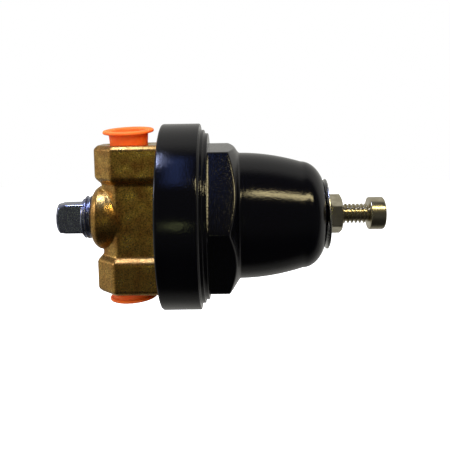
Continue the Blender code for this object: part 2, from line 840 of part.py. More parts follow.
def build_seat():
    """Seat ring, gasket, poppet with its soft disc, return spring and stem guide."""
    gasket_x = SEAT_SHOULDER_X + GAP
    gasket = [
        (gasket_x, SEAT_NECK_R),
        (gasket_x, SEAT_R),
        (gasket_x + GASKET_T, SEAT_R),
        (gasket_x + GASKET_T, SEAT_NECK_R),
    ]
    add_object("seat_gasket", turned(gasket, SMALL_SEGMENTS), "fibre")

    seat_x = gasket_x + GASKET_T + GAP
    lip = INLET_END_X + 0.25
    seat = [
        (lip, SEAT_ORIFICE_R + 0.25),
        (lip, SEAT_ORIFICE_R + 0.6),
        (lip + 0.6, SEAT_NOSE_R),
        (seat_x, SEAT_NOSE_R),
        (seat_x, SEAT_R),
        (seat_x + SEAT_T - 0.3, SEAT_R),
        (seat_x + SEAT_T, SEAT_R - 0.3),
        (seat_x + SEAT_T, SEAT_ORIFICE_R + 0.6),
        (seat_x + SEAT_T - 0.6, SEAT_ORIFICE_R),
        (lip + 0.25, SEAT_ORIFICE_R),
    ]
    add_object("valve_seat", turned(seat, SMALL_SEGMENTS), "stainless")

    cup_x = POPPET_RIM_X - POPPET_CUP_DEPTH
    hole = STEM_R + GAP
    poppet = [
        (POPPET_X0 - POPPET_TAIL, 0.0),
        (POPPET_X0 - POPPET_TAIL, POPPET_TAIL_R - 0.3),
        (POPPET_X0 - POPPET_TAIL + 0.3, POPPET_TAIL_R),
        (POPPET_X0, POPPET_TAIL_R),
        (POPPET_X0, POPPET_R - 0.4),
        (POPPET_X0 + 0.4, POPPET_R),
        (POPPET_RIM_X - 0.3, POPPET_R),
        (POPPET_RIM_X, POPPET_R - 0.3),
        (POPPET_RIM_X, POPPET_CUP_R),
        (cup_x, POPPET_CUP_R),
        (cup_x, hole),
        (POPPET_X0 + 0.6, hole),
        (POPPET_X0 + 0.6, 0.0),
    ]
    add_object("poppet", turned(poppet, SMALL_SEGMENTS), "turned_brass")
    seal_x = cup_x + GAP
    seal = [
        (seal_x, hole),
        (seal_x, POPPET_CUP_R - GAP),
        (seal_x + DISC_SEAL_T, POPPET_CUP_R - GAP),
        (seal_x + DISC_SEAL_T, hole),
    ]
    add_object("poppet_disc", turned(seal, SMALL_SEGMENTS), "rubber")

    spring_x = PLUG_END_X - PLUG_BORE_DEPTH + GAP
    spring = coil(
        RETURN_R,
        RETURN_WIRE_R,
        spring_x,
        POPPET_X0 - GAP - spring_x,
        RETURN_COILS,
        SPRING_END_COILS,
        12,
        5,
    )
    add_object("return_spring", spring, "stainless")

    guide = [
        (GUIDE_X, STEM_R + GAP),
        (GUIDE_X, OUTLET_R - GAP - 0.4),
        (GUIDE_X + 0.4, OUTLET_R - GAP),
        (GUIDE_X + GUIDE_T, OUTLET_R - GAP),
        (GUIDE_X + GUIDE_T, STEM_R + GAP),
    ]
    bushing = add_object("stem_guide", turned(guide, MEDIUM_SEGMENTS), "turned_brass")
    centre_r = (STEM_R + OUTLET_R) / 2
    for number in range(GUIDE_HOLES):
        angle = 2 * math.pi * (number + 0.5) / GUIDE_HOLES
        y = centre_r * math.sin(angle)
        z = centre_r * math.cos(angle)
        hole = drill(
            (GUIDE_X - 1.0, y, z), (GUIDE_X + GUIDE_T + 1.0, y, z), GUIDE_HOLE_R, 8
        )
        boolean(bushing, add_cutter(f"cut_flow_hole_{number + 1}", hole), "DIFFERENCE")


def build_screen():
    """Perforated inlet screen at the bottom of the lower port."""
    floor = ARM_END_Z - PORT_DEPTH
    radius = PORT_BORE_R - PORT_DEPTH * PIPE_TAPER - GAP
    low = floor + GAP
    profile = [
        (low, 0.0),
        (low, radius - 0.05),
        (low + SCREEN_T, radius),
        (low + SCREEN_T, 0.0),
    ]
    screen = add_object("inlet_screen", turned(profile, SMALL_SEGMENTS), "stainless")
    screen.rotation_euler = (0, math.pi / 2, 0)
    rows = []
    for ring, count in ((1.95, 5), (3.95, 9)):
        for number in range(count):
            angle = 2 * math.pi * number / count
            rows.append((ring * math.cos(angle), ring * math.sin(angle)))
    rows.append((0.0, 0.0))
    holes = bmesh.new()
    for y, z in rows:
        bmesh.ops.create_cone(
            holes,
            cap_ends=True,
            segments=6,
            radius1=SCREEN_HOLE_R,
            radius2=SCREEN_HOLE_R,
            depth=4.0,
            matrix=Matrix.Translation((low, y, z)) @ Matrix.Rotation(math.pi / 2, 4, "Y"),
        )
    cutter = add_cutter("cut_screen_holes", holes)
    cutter.rotation_euler = (0, math.pi / 2, 0)
    boolean(screen, cutter, "DIFFERENCE")


def build_cap(name, sign, top, tilt):
    """Hollow push-in cap with a thin flange, standing part way out of its port."""
    face = 0.0
    inner_top = CAP_TOP_R - CAP_WALL
    inner_tip = CAP_TIP_R - CAP_WALL
    profile = [
        (face - CAP_REACH, 0.0),
        (face - CAP_REACH, CAP_TIP_R - 0.5),
        (face - CAP_REACH + 0.5, CAP_TIP_R),
        (face, CAP_FACE_R),
        (top - 0.5, CAP_TOP_R),
        (top, CAP_TOP_R + 0.5),
        (top + 0.25, CAP_FLANGE_R - 0.3),
        (top + 0.5, CAP_FLANGE_R),
        (top + CAP_FLANGE_T, CAP_FLANGE_R - 0.15),
        (top + CAP_FLANGE_T, inner_top + 0.5),
        (top + CAP_FLANGE_T - 0.5, inner_top),
        (face - CAP_REACH + CAP_WALL + 0.4, inner_tip),
        (face - CAP_REACH + CAP_WALL, inner_tip - 0.4),
        (face - CAP_REACH + CAP_WALL, 0.0),
    ]
    cap = add_object(name, turned(profile, MEDIUM_SEGMENTS), "orange_plastic")
    cap.location = (0, 0, sign * ARM_END_Z * MM)
    cap.rotation_euler = (0, -sign * math.pi / 2 - math.radians(tilt), 0)
    return cap


def build_all():
    """Build every piece of the valve."""
    clear_scene()
    build_body()
    build_plug()
    build_chamber()
    build_disc()
    build_adjuster()
    build_diaphragm()
    build_seat()
    build_screen()
    build_cap("upper_port_cap", 1, UPPER_CAP_STAND_OFF, CAP_TILT)
    build_cap("lower_port_cap", -1, LOWER_CAP_STAND_OFF, 0.0)
    start, end = spring_seats()
    spring = coil(
        SPRING_R,
        SPRING_WIRE_R,
        start,
        end - start,
        SPRING_COILS,
        SPRING_END_COILS,
        18,
        6,
    )
    add_object("main_spring", spring, "spring_steel")


build_all()
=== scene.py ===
"""Looks of the pressure regulator valve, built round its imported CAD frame."""
import json
import logging
import math
from dataclasses import dataclass
from enum import Enum
from typing import Any, Callable, Optional, Sequence

import bmesh
import bpy
import numpy as np
from mathutils import Matrix, Vector

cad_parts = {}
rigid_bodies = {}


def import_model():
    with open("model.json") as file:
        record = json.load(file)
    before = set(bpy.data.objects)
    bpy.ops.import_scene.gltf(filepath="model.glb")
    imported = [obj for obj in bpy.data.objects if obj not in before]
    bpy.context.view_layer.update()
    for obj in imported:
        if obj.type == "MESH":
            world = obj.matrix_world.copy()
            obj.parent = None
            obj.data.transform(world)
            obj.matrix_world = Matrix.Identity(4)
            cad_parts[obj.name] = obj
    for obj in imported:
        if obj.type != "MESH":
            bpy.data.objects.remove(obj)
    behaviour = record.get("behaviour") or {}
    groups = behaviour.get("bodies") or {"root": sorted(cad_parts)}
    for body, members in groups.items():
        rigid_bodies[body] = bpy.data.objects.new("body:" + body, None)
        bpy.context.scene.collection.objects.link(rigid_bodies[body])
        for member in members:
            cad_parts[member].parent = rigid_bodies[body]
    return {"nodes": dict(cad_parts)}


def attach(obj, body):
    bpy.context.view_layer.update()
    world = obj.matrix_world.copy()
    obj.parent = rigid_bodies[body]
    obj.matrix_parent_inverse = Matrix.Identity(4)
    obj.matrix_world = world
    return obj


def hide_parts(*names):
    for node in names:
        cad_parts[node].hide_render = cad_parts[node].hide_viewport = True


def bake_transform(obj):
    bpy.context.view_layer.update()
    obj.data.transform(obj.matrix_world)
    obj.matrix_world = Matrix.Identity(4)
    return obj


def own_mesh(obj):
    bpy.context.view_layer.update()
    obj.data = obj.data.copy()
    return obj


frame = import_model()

MM = 0.001
TURN = 2.0 * math.pi
TOOL_COLUMNS = 96

Tree = bpy.types.NodeTree
Obj = bpy.types.Object
Profile = Sequence[tuple[float, float]]

log = logging.getLogger("regulator_looks")


def set_inputs(tree: Tree, node: bpy.types.Node, inputs: dict[Any, Any]) -> None:
    """Give a node's inputs their values.

    Args:
        tree: the tree that holds the node.
        node: the node.
        inputs: a value or another node's socket for each named or numbered input.
    """
    for key, value in inputs.items():
        if isinstance(value, bpy.types.NodeSocket):
            tree.links.new(value, node.inputs[key])
        else:
            node.inputs[key].default_value = value


def add_node(tree: Tree, kind: str, inputs: Optional[dict[Any, Any]] = None, **settings: Any) -> Any:
    """Add one node to a tree.

    Args:
        tree: the tree that gets the node.
        kind: type name of the node.
        inputs: a value or another node's socket for each named or numbered input.
        settings: attributes of the node, set before its inputs.

    Returns:
        The node's output sockets.
    """
    node = tree.nodes.new(kind)
    for key, value in settings.items():
        setattr(node, key, value)
    set_inputs(tree, node, inputs or {})
    return node.outputs


def linear(code: str) -> tuple[float, float, float, float]:
    """Turn a hex sRGB colour into scene-linear RGBA.

    Args:
        code: six hex digits after a hash sign.

    Returns:
        Red, green, blue and an alpha of one.
    """
    parts = [int(code[i : i + 2], 16) / 255.0 for i in (1, 3, 5)]
    low = [p / 12.92 if p <= 0.04045 else ((p + 0.055) / 1.055) ** 2.4 for p in parts]
    return low[0], low[1], low[2], 1.0


@dataclass(frozen=True)
class Surface:
    """What every finish has: its name, and the way its material starts and ends."""

    name: str

    def start(self) -> tuple[bpy.types.Material, Tree, bpy.types.NodeSocket]:
        """Start the material.

        Returns:
            The material, its tree, and the place on the piece that its patterns follow.
        """
        material = bpy.data.materials.new(self.name)
        material.use_nodes = True
        tree = material.node_tree
        return material, tree, add_node(tree, "ShaderNodeTexCoord")["Object"]

    def end(self, material: bpy.types.Material, inputs: dict[str, Any]) -> bpy.types.Material:
        """Finish the material.

        Args:
            material: the started material.
            inputs: values or sockets for its shader.

        Returns:
            The same material.
        """
        tree = material.node_tree
        set_inputs(tree, tree.nodes["Principled BSDF"], inputs)
        return material


@dataclass(frozen=True)
class Metal(Surface):
    """Bare metal with a mottled tarnish, a fine grain and, if wanted, tool marks."""

    bright: str
    dull: str
    smooth: float
    rough: float
    mottle_mm: float
    grain_mm: float
    relief_mm: float
    marks_mm: float = 0.0
    marks_axis: str = "X"
    speckle: float = 0.06
    marks_share: float = 0.25
    cloud_band: tuple[float, float] = (0.32, 0.68)
    pit_band: tuple[float, float] = (0.32, 0.66)

    def build(self) -> bpy.types.Material:
        """Make the material.

        Returns:
            A metal whose colour and roughness follow one slow noise.
        """
        material, tree, spot = self.start()
        # Slow clouds of tarnish: they break up the large flats.
        clouds = add_node(
            tree,
            "ShaderNodeTexNoise",
            {"Vector": spot, "Scale": 1.0 / (self.mottle_mm * MM), "Detail": 5.0, "Roughness": 0.6},
        )["Fac"]
        low, high = self.cloud_band
        spread = add_node(
            tree, "ShaderNodeMapRange", {"Value": clouds, "From Min": low, "From Max": high}
        )["Result"]
        tarnish = add_node(
            tree,
            "ShaderNodeMix",
            {0: spread, 6: linear(self.dull), 7: linear(self.bright)},
            data_type="RGBA",
        )[2]
        # Fine grain: the sparkle of the surface in raking light.
        grain = add_node(
            tree,
            "ShaderNodeTexNoise",
            {"Vector": spot, "Scale": 1.0 / (self.grain_mm * MM), "Detail": 3.0, "Roughness": 0.65},
        )["Fac"]
        # Pits hold dirt, so they are darker than the skin round them.
        low, high = self.pit_band
        dark, light = 1.0 - self.speckle, 1.0 + self.speckle
        speck = add_node(
            tree,
            "ShaderNodeMapRange",
            {"Value": grain, "From Min": low, "From Max": high, "To Min": dark, "To Max": light},
        )["Result"]
        colour = add_node(
            tree, "ShaderNodeVectorMath", {0: tarnish, "Scale": speck}, operation="SCALE"
        )[0]
        gloss = add_node(
            tree, "ShaderNodeMapRange", {"Value": spread, "To Min": self.rough, "To Max": self.smooth}
        )["Result"]
        height = self.tool_marks(tree, spot, grain) if self.marks_mm else grain
        bump = add_node(
            tree, "ShaderNodeBump", {"Height": height, "Distance": self.relief_mm * MM, "Strength": 1.0}
        )["Normal"]
        return self.end(
            material, {"Base Color": colour, "Roughness": gloss, "Normal": bump, "Metallic": 1.0}
        )

    def tool_marks(
        self, tree: Tree, spot: bpy.types.NodeSocket, grain: bpy.types.NodeSocket
    ) -> bpy.types.NodeSocket:
        """Add the concentric marks of a tool to the grain.

        Args:
            tree: the material's tree.
            spot: the place on the piece.
            grain: the height that the marks are added to.

        Returns:
            The height with rings round the axis that the face was turned on.
        """
        parts = add_node(tree, "ShaderNodeSeparateXYZ", {"Vector": spot})
        across = [parts[axis] for axis in "XYZ" if axis != self.marks_axis]
        flat = add_node(tree, "ShaderNodeCombineXYZ", dict(enumerate(across)))[0]
        reach = add_node(tree, "ShaderNodeVectorMath", {0: flat}, operation="LENGTH")[1]
        per_metre = TURN / (self.marks_mm * MM)
        wave = add_node(tree, "ShaderNodeMath", {0: reach, 1: per_metre}, operation="MULTIPLY")[0]
        ring = add_node(tree, "ShaderNodeMath", {0: wave}, operation="SINE")[0]
        return add_node(
            tree, "ShaderNodeMath", {0: ring, 1: self.marks_share, 2: grain}, operation="MULTIPLY_ADD"
        )[0]


@dataclass(frozen=True)
class Enamel(Surface):
    """Glossy paint over a casting, with an orange-peel surface."""

    colour: str
    rough: float
    peel_mm: float
    peel_depth_mm: float
    swell_mm: float
    swell_depth_mm: float
    ior: float = 1.48

    def build(self) -> bpy.types.Material:
        """Make the material.

        Returns:
            A dark paint with two sizes of ripple in its normal.
        """
        material, tree, spot = self.start()
        # Broad swells of the casting under the paint: they bend the long highlights.
        swell = add_node(
            tree,
            "ShaderNodeTexNoise",
            {"Vector": spot, "Scale": 1.0 / (self.swell_mm * MM), "Detail": 2.0},
        )["Fac"]
        low = add_node(
            tree, "ShaderNodeBump", {"Height": swell, "Distance": self.swell_depth_mm * MM}
        )["Normal"]
        # Orange peel, drawn a little coarser than real so that it shows at this picture's size.
        peel = add_node(
            tree,
            "ShaderNodeTexNoise",
            {"Vector": spot, "Scale": 1.0 / (self.peel_mm * MM), "Detail": 3.0, "Roughness": 0.6},
        )["Fac"]
        fine = add_node(
            tree,
            "ShaderNodeBump",
            {"Height": peel, "Distance": self.peel_depth_mm * MM, "Normal": low},
        )["Normal"]
        inputs = {"Base Color": linear(self.colour), "Roughness": self.rough, "IOR": self.ior}
        return self.end(material, {**inputs, "Normal": fine})


@dataclass(frozen=True)
class SoftPlastic(Surface):
    """Moulded polyethylene: satin skin with light bleeding through its thin rim."""

    colour: str
    glow: str
    rough: float
    depth_mm: float
    cloud_mm: float = 3.846
    dimple_mm: float = 0.12
    ior: float = 1.51
    specular: float = 0.25
    bleed: float = 0.6
    bleed_rgb: tuple[float, float, float] = (1.0, 0.35, 0.12)

    def build(self) -> bpy.types.Material:
        """Make the material.

        Returns:
            A plastic with subsurface scattering and faint cloudy colour.
        """
        material, tree, spot = self.start()
        # Cloudy pigment, as in cheap moulded caps.
        clouds = add_node(
            tree,
            "ShaderNodeTexNoise",
            {"Vector": spot, "Scale": 1.0 / (self.cloud_mm * MM), "Detail": 3.0},
        )["Fac"]
        colour = add_node(
            tree,
            "ShaderNodeMix",
            {0: clouds, 6: linear(self.colour), 7: linear(self.glow)},
            data_type="RGBA",
        )[2]
        # Dimpled skin of a soft moulding.
        bump = add_node(
            tree, "ShaderNodeBump", {"Height": clouds, "Distance": self.dimple_mm * MM}
        )["Normal"]
        inputs = {
            "Base Color": colour,
            "Normal": bump,
            "Roughness": self.rough,
            "IOR": self.ior,
            "Specular IOR Level": self.specular,
            "Subsurface Weight": self.bleed,
            "Subsurface Radius": self.bleed_rgb,
            "Subsurface Scale": self.depth_mm * MM,
        }
        return self.end(material, inputs)


@dataclass(frozen=True)
class Dull(Surface):
    """Matt sheet goods: rubber or pressed fibre."""

    colour: str
    rough: float
    grain_mm: float
    relief_mm: float = 0.03

    def build(self) -> bpy.types.Material:
        """Make the material.

        Returns:
            A matt material with a fine grain.
        """
        material, tree, spot = self.start()
        # Fine pores that keep the surface from looking like plastic.
        grain = add_node(
            tree, "ShaderNodeTexNoise", {"Vector": spot, "Scale": 1.0 / (self.grain_mm * MM)}
        )["Fac"]
        bump = add_node(
            tree, "ShaderNodeBump", {"Height": grain, "Distance": self.relief_mm * MM}
        )["Normal"]
        inputs = {"Base Color": linear(self.colour), "Roughness": self.rough, "Normal": bump}
        return self.end(material, inputs)


class Finish(Enum):
    """Every finish on the valve."""

    # Cast brass, tumbled: grainy, with dark pits and clouds of brown tarnish.
    CAST_BRASS = Metal(
        name="cast_brass", bright="#D2AA5A", dull="#A07038", smooth=0.24, rough=0.38,
        mottle_mm=5.0, grain_mm=0.5, relief_mm=0.05, speckle=0.55,
    )
    # Brass faced on a lathe: paler and smoother, with fine rings round the port.
    PORT_BRASS = Metal(
        name="faced_brass", bright="#E2C98A", dull="#C7A45A", smooth=0.18, rough=0.3,
        mottle_mm=3.0, grain_mm=0.3, relief_mm=0.008, marks_mm=0.35, marks_axis="Z",
    )
    # Brass turned on a lathe: bright, with fine rings round the long axis.
    TURNED_BRASS = Metal(
        name="lathe_turned_brass", bright="#DDBF74", dull="#C09A4C", smooth=0.2, rough=0.3,
        mottle_mm=3.0, grain_mm=0.4, relief_mm=0.006, marks_mm=0.3,
    )
    # Zinc-plated steel: a bluish grey with a soft gloss and a light speckle.
    ZINC = Metal(
        name="zinc_plated_steel", bright="#B0B8CC", dull="#7C7C92", smooth=0.2, rough=0.34,
        mottle_mm=2.5, grain_mm=0.4, relief_mm=0.02, speckle=0.25,
    )
    # Turned stainless steel: pale and warm, with fine rings.
    STAINLESS = Metal(
        name="turned_stainless", bright="#DCD4BC", dull="#B8B096", smooth=0.16, rough=0.28,
        mottle_mm=3.0, grain_mm=0.3, relief_mm=0.008, marks_mm=0.25,
    )
    # Bare sheet aluminium: the palest of the metals, satin.
    ALUMINIUM = Metal(
        name="bare_aluminium", bright="#E4E4E0", dull="#C4C4C0", smooth=0.2, rough=0.34,
        mottle_mm=4.0, grain_mm=0.3, relief_mm=0.01,
    )
    # Oiled spring steel: dark grey with a soft sheen.
    SPRING_STEEL = Metal(
        name="oiled_spring_steel", bright="#6A6A6C", dull="#444446", smooth=0.3, rough=0.4,
        mottle_mm=3.0, grain_mm=0.3, relief_mm=0.01,
    )
    # Sprayed enamel: deep black, with highlights that its orange peel breaks up.
    ENAMEL = Enamel(
        name="glossy_black_enamel", colour="#020205", rough=0.1,
        peel_mm=0.55, peel_depth_mm=0.038, swell_mm=7.0, swell_depth_mm=0.03,
    )
    # Moulded nitrile rubber: nearly black and matt.
    RUBBER = Dull(name="nitrile_rubber", colour="#1C1C1D", rough=0.6, grain_mm=0.4)
    # Pressed fibre: tan and fully matt.
    FIBRE = Dull(name="pressed_fibre", colour="#9A8660", rough=0.8, grain_mm=0.5)
    # Moulded polyethylene: a waxy orange that glows a little at its thin rim.
    ORANGE = SoftPlastic(
        name="orange_polyethylene", colour="#FA6012", glow="#FB7A2C", rough=0.5, depth_mm=1.6
    )

    def material(self) -> bpy.types.Material:
        """Return this finish's material, made at its first use."""
        return bpy.data.materials.get(self.value.name) or self.value.build()


def smooth_max(a: Any, b: Any, width: float) -> np.ndarray:
    """Larger of two fields, rounded where they are closer than a width.

    Args:
        a: first field.
        b: second field.
        width: reach of the rounding, in the fields' unit.

    Returns:
        The rounded maximum.
    """
    share = np.clip(0.5 + 0.5 * (a - b) / width, 0.0, 1.0)
    return b * (1.0 - share) + a * share + width * share * (1.0 - share)


def smooth_min(a: Any, b: Any, width: float) -> np.ndarray:
    """Smaller of two fields, rounded where they are closer than a width.

    Args:
        a: first field.
        b: second field.
        width: reach of the rounding, in the fields' unit.

    Returns:
        The rounded minimum.
    """
    return -smooth_max(-np.asarray(a), -np.asarray(b), width)


def flats(angle: np.ndarray, sides: int, across: float, turn_deg: float, crisp: float) -> np.ndarray:
    """Radius of a regular polygon with softened corners.

    Args:
        angle: directions to measure, in radians.
        sides: number of flats.
        across: distance across opposite flats.
        turn_deg: direction of one flat.
        crisp: power that sets how sharp the corners are.

    Returns:
        The radius for each direction.
    """
    total = np.zeros_like(angle)
    for number in range(sides):
        lean = np.cos(angle - math.radians(turn_deg) - number * TURN / sides)
        total += np.clip(lean, 0.0, None) ** crisp
    return across / 2.0 / total ** (1.0 / crisp)


def rounded(points: Sequence[tuple[float, ...]], steps: int = 4) -> list[tuple[float, float]]:
    """Round the corners of an open profile.

    Args:
        points: axial place and radius of each corner, and the rounding radius if it has one.
        steps: segments of each rounded corner.

    Returns:
        The finer profile.
    """
    result = [(points[0][0], points[0][1])]
    for before, corner, after in zip(points, points[1:], points[2:]):
        here = Vector(corner[:2])
        if len(corner) < 3 or corner[2] <= 0.0:
            result.append((here.x, here.y))
            continue
        back = Vector(before[:2]) - here
        ahead = Vector(after[:2]) - here
        bend = math.pi - back.angle(ahead)
        reach = min(corner[2] * math.tan(bend / 2), 0.49 * back.length, 0.49 * ahead.length)
        start = here + back.normalized() * reach
        end = here + ahead.normalized() * reach
        for step in range(steps + 1):
            t = step / steps
            spot = start * (1 - t) ** 2 + here * (2 * t * (1 - t)) + end * t**2
            result.append((spot.x, spot.y))
    result.append((points[-1][0], points[-1][1]))
    return result


def make_mesh(name: str, places: np.ndarray, faces: Any) -> bpy.types.Mesh:
    """Make a closed mesh from places in millimetres, with its normals facing out.

    Args:
        name: name of the mesh.
        places: one row of three numbers for each vertex.
        faces: vertex numbers of each face.

    Returns:
        The mesh.
    """
    mesh = bpy.data.meshes.new(name)
    mesh.from_pydata((np.asarray(places) * MM).tolist(), [], np.asarray(faces).tolist())
    bm = bmesh.new()
    bm.from_mesh(mesh)
    bmesh.ops.remove_doubles(bm, verts=bm.verts, dist=0.0005 * MM)
    bmesh.ops.dissolve_degenerate(bm, edges=bm.edges, dist=0.0002 * MM)
    bmesh.ops.recalc_face_normals(bm, faces=bm.faces)
    bm.to_mesh(mesh)
    bm.free()
    return mesh


def bearings(columns: int) -> np.ndarray:
    """Return evenly spaced directions round the X axis, in radians."""
    return np.arange(columns) * TURN / columns


def spin(profile: Profile, columns: int) -> tuple[np.ndarray, np.ndarray]:
    """Return a profile's axial places as a column, and its radii for every direction."""
    table = np.array(profile)
    return table[:, :1], np.repeat(table[:, 1:2], columns, axis=1)


def skin(name: str, along: np.ndarray, radius: np.ndarray, loop: bool) -> bpy.types.Mesh:
    """Skin rows of radii round the X axis.

    Args:
        name: name of the mesh.
        along: axial places, as a column or one for each vertex.
        radius: one row of radii for each row of the skin, one column for each direction.
        loop: whether the last row closes onto the first; otherwise both end on the axis.

    Returns:
        The closed mesh.
    """
    rows, columns = radius.shape
    along = np.broadcast_to(along, radius.shape)
    angle = bearings(columns)
    places = np.stack([along, -radius * np.cos(angle), radius * np.sin(angle)], axis=-1)
    first = np.arange(rows if loop else rows - 1)
    row = np.repeat(first, columns)
    column = np.tile(np.arange(columns), len(first))
    below = (row + 1) % rows
    ahead = (column + 1) % columns
    faces = np.stack(
        [
            row * columns + column,
            row * columns + ahead,
            below * columns + ahead,
            below * columns + column,
        ],
        axis=-1,
    )
    return make_mesh(name, places.reshape(-1, 3), faces)


def lathe(name: str, profile: Profile, columns: int, loop: bool) -> bpy.types.Mesh:
    """Turn a profile of axial places and radii round the X axis.

    Args:
        name: name of the mesh.
        profile: axial place and radius of each point.
        columns: number of directions round the axis.
        loop: whether the profile closes onto its first point.

    Returns:
        The closed mesh.
    """
    return skin(name, *spin(profile, columns), loop)


def place(mesh: bpy.types.Mesh, name: str, finish: Finish, sharp_deg: float = 40.0) -> Obj:
    """Turn a mesh into a dressed object at the origin.

    Args:
        mesh: the finished mesh, in metres.
        name: name of the piece.
        finish: its finish.
        sharp_deg: folds sharper than this stay crisp.

    Returns:
        The object, linked to the scene.
    """
    if not mesh.materials:
        mesh.materials.append(finish.material())
    mesh.shade_smooth()
    mesh.set_sharp_from_angle(angle=math.radians(sharp_deg))
    piece = bpy.data.objects.new(name, mesh)
    bpy.context.scene.collection.objects.link(piece)
    return piece


def report(piece: Obj, body: str, *nodes: str) -> None:
    """Tie a piece to the frame and tell the log about it.

    Args:
        piece: the finished piece.
        body: the CAD body that it rides on.
        nodes: the CAD nodes that it stands for.
    """
    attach(piece, body)
    if nodes:
        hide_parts(*nodes)
    low = [min(v.co[i] for v in piece.data.vertices) / MM for i in range(3)]
    high = [max(v.co[i] for v in piece.data.vertices) / MM for i in range(3)]
    size = " x ".join(f"{b - a:.1f}" for a, b in zip(low, high))
    log.info("%s rides on %s: %s mm, %d faces", piece.name, body, size, len(piece.data.polygons))


def combine(base: bpy.types.Mesh, cutters: Sequence[bpy.types.Mesh], operation: str) -> bpy.types.Mesh:
    """Join meshes to a base, or cut them out of it, one after another.

    Args:
        base: the mesh to work on.
        cutters: the meshes to join or cut.
        operation: UNION or DIFFERENCE.

    Returns:
        The combined mesh.
    """
    scene = bpy.context.scene.collection.objects
    target = bpy.data.objects.new(base.name, base)
    scene.link(target)
    helpers = []
    for number, cutter in enumerate(cutters):
        helper = bpy.data.objects.new(f"{base.name}_tool_{number}", cutter)
        scene.link(helper)
        helpers.append(helper)
        change = target.modifiers.new(f"combine_{number}", "BOOLEAN")
        change.operation = operation
        change.solver = "MANIFOLD"
        change.object = helper
    graph = bpy.context.evaluated_depsgraph_get()
    result = bpy.data.meshes.new_from_object(target.evaluated_get(graph))
    for thing in [target, *helpers]:
        bpy.data.objects.remove(thing)
    return result


class NodeShape:
    """A shape grown by a Geometry Nodes tree and handed over as a plain mesh."""

    def __init__(self, name: str, sockets: dict[str, float]) -> None:
        """Start the tree with its named inputs.

        Args:
            name: name of the tree and of the mesh.
            sockets: value of each input.
        """
        self.name = name
        self.values = sockets
        self.tree = bpy.data.node_groups.new(name, "GeometryNodeTree")
        for key in sockets:
            self.tree.interface.new_socket(name=key, in_out="INPUT", socket_type="NodeSocketFloat")
        self.tree.interface.new_socket(
            name="Geometry", in_out="OUTPUT", socket_type="NodeSocketGeometry"
        )
        self.given = add_node(self.tree, "NodeGroupInput")

    def swing(self, shape: Any, along: Any, radius: Any, angle: Any) -> bpy.types.NodeSocket:
        """Put every point at its place round the X axis.

        Args:
            shape: socket with the points.
            along: socket with each point's place on the axis.
            radius: socket with its distance from the axis.
            angle: socket with its direction.

        Returns:
            The socket with the moved points.
        """
        spoke = add_node(self.tree, "ShaderNodeCombineXYZ", {0: along, 1: radius})[0]
        turned = add_node(
            self.tree,
            "ShaderNodeVectorRotate",
            {"Vector": spoke, "Angle": angle},
            rotation_type="X_AXIS",
        )[0]
        goal = {"Geometry": shape, "Position": turned}
        return add_node(self.tree, "GeometryNodeSetPosition", goal)[0]

    def close(self, shape: bpy.types.NodeSocket, finish: Finish) -> bpy.types.Mesh:
        """End the tree, run it and drop its modifier.

        Args:
            shape: socket with the grown geometry.
            finish: finish of the piece.

        Returns:
            The plain mesh.
        """
        real = add_node(self.tree, "GeometryNodeRealizeInstances", {0: shape})[0]
        dress = {"Geometry": real, "Material": finish.material()}
        dressed = add_node(self.tree, "GeometryNodeSetMaterial", dress)[0]
        add_node(self.tree, "NodeGroupOutput", {"Geometry": dressed})
        carrier = bpy.data.objects.new(self.name, bpy.data.meshes.new(self.name))
        bpy.context.scene.collection.objects.link(carrier)
        grow = carrier.modifiers.new(self.name, "NODES")
        grow.node_group = self.tree
        for item in self.tree.interface.items_tree:
            if item.in_out == "INPUT":
                grow[item.identifier] = float(self.values[item.name])
        graph = bpy.context.evaluated_depsgraph_get()
        mesh = bpy.data.meshes.new_from_object(carrier.evaluated_get(graph))
        bpy.data.objects.remove(carrier)
        bm = bmesh.new()
        bm.from_mesh(mesh)
        bmesh.ops.recalc_face_normals(bm, faces=bm.faces)
        bm.to_mesh(mesh)
        bm.free()
        return mesh


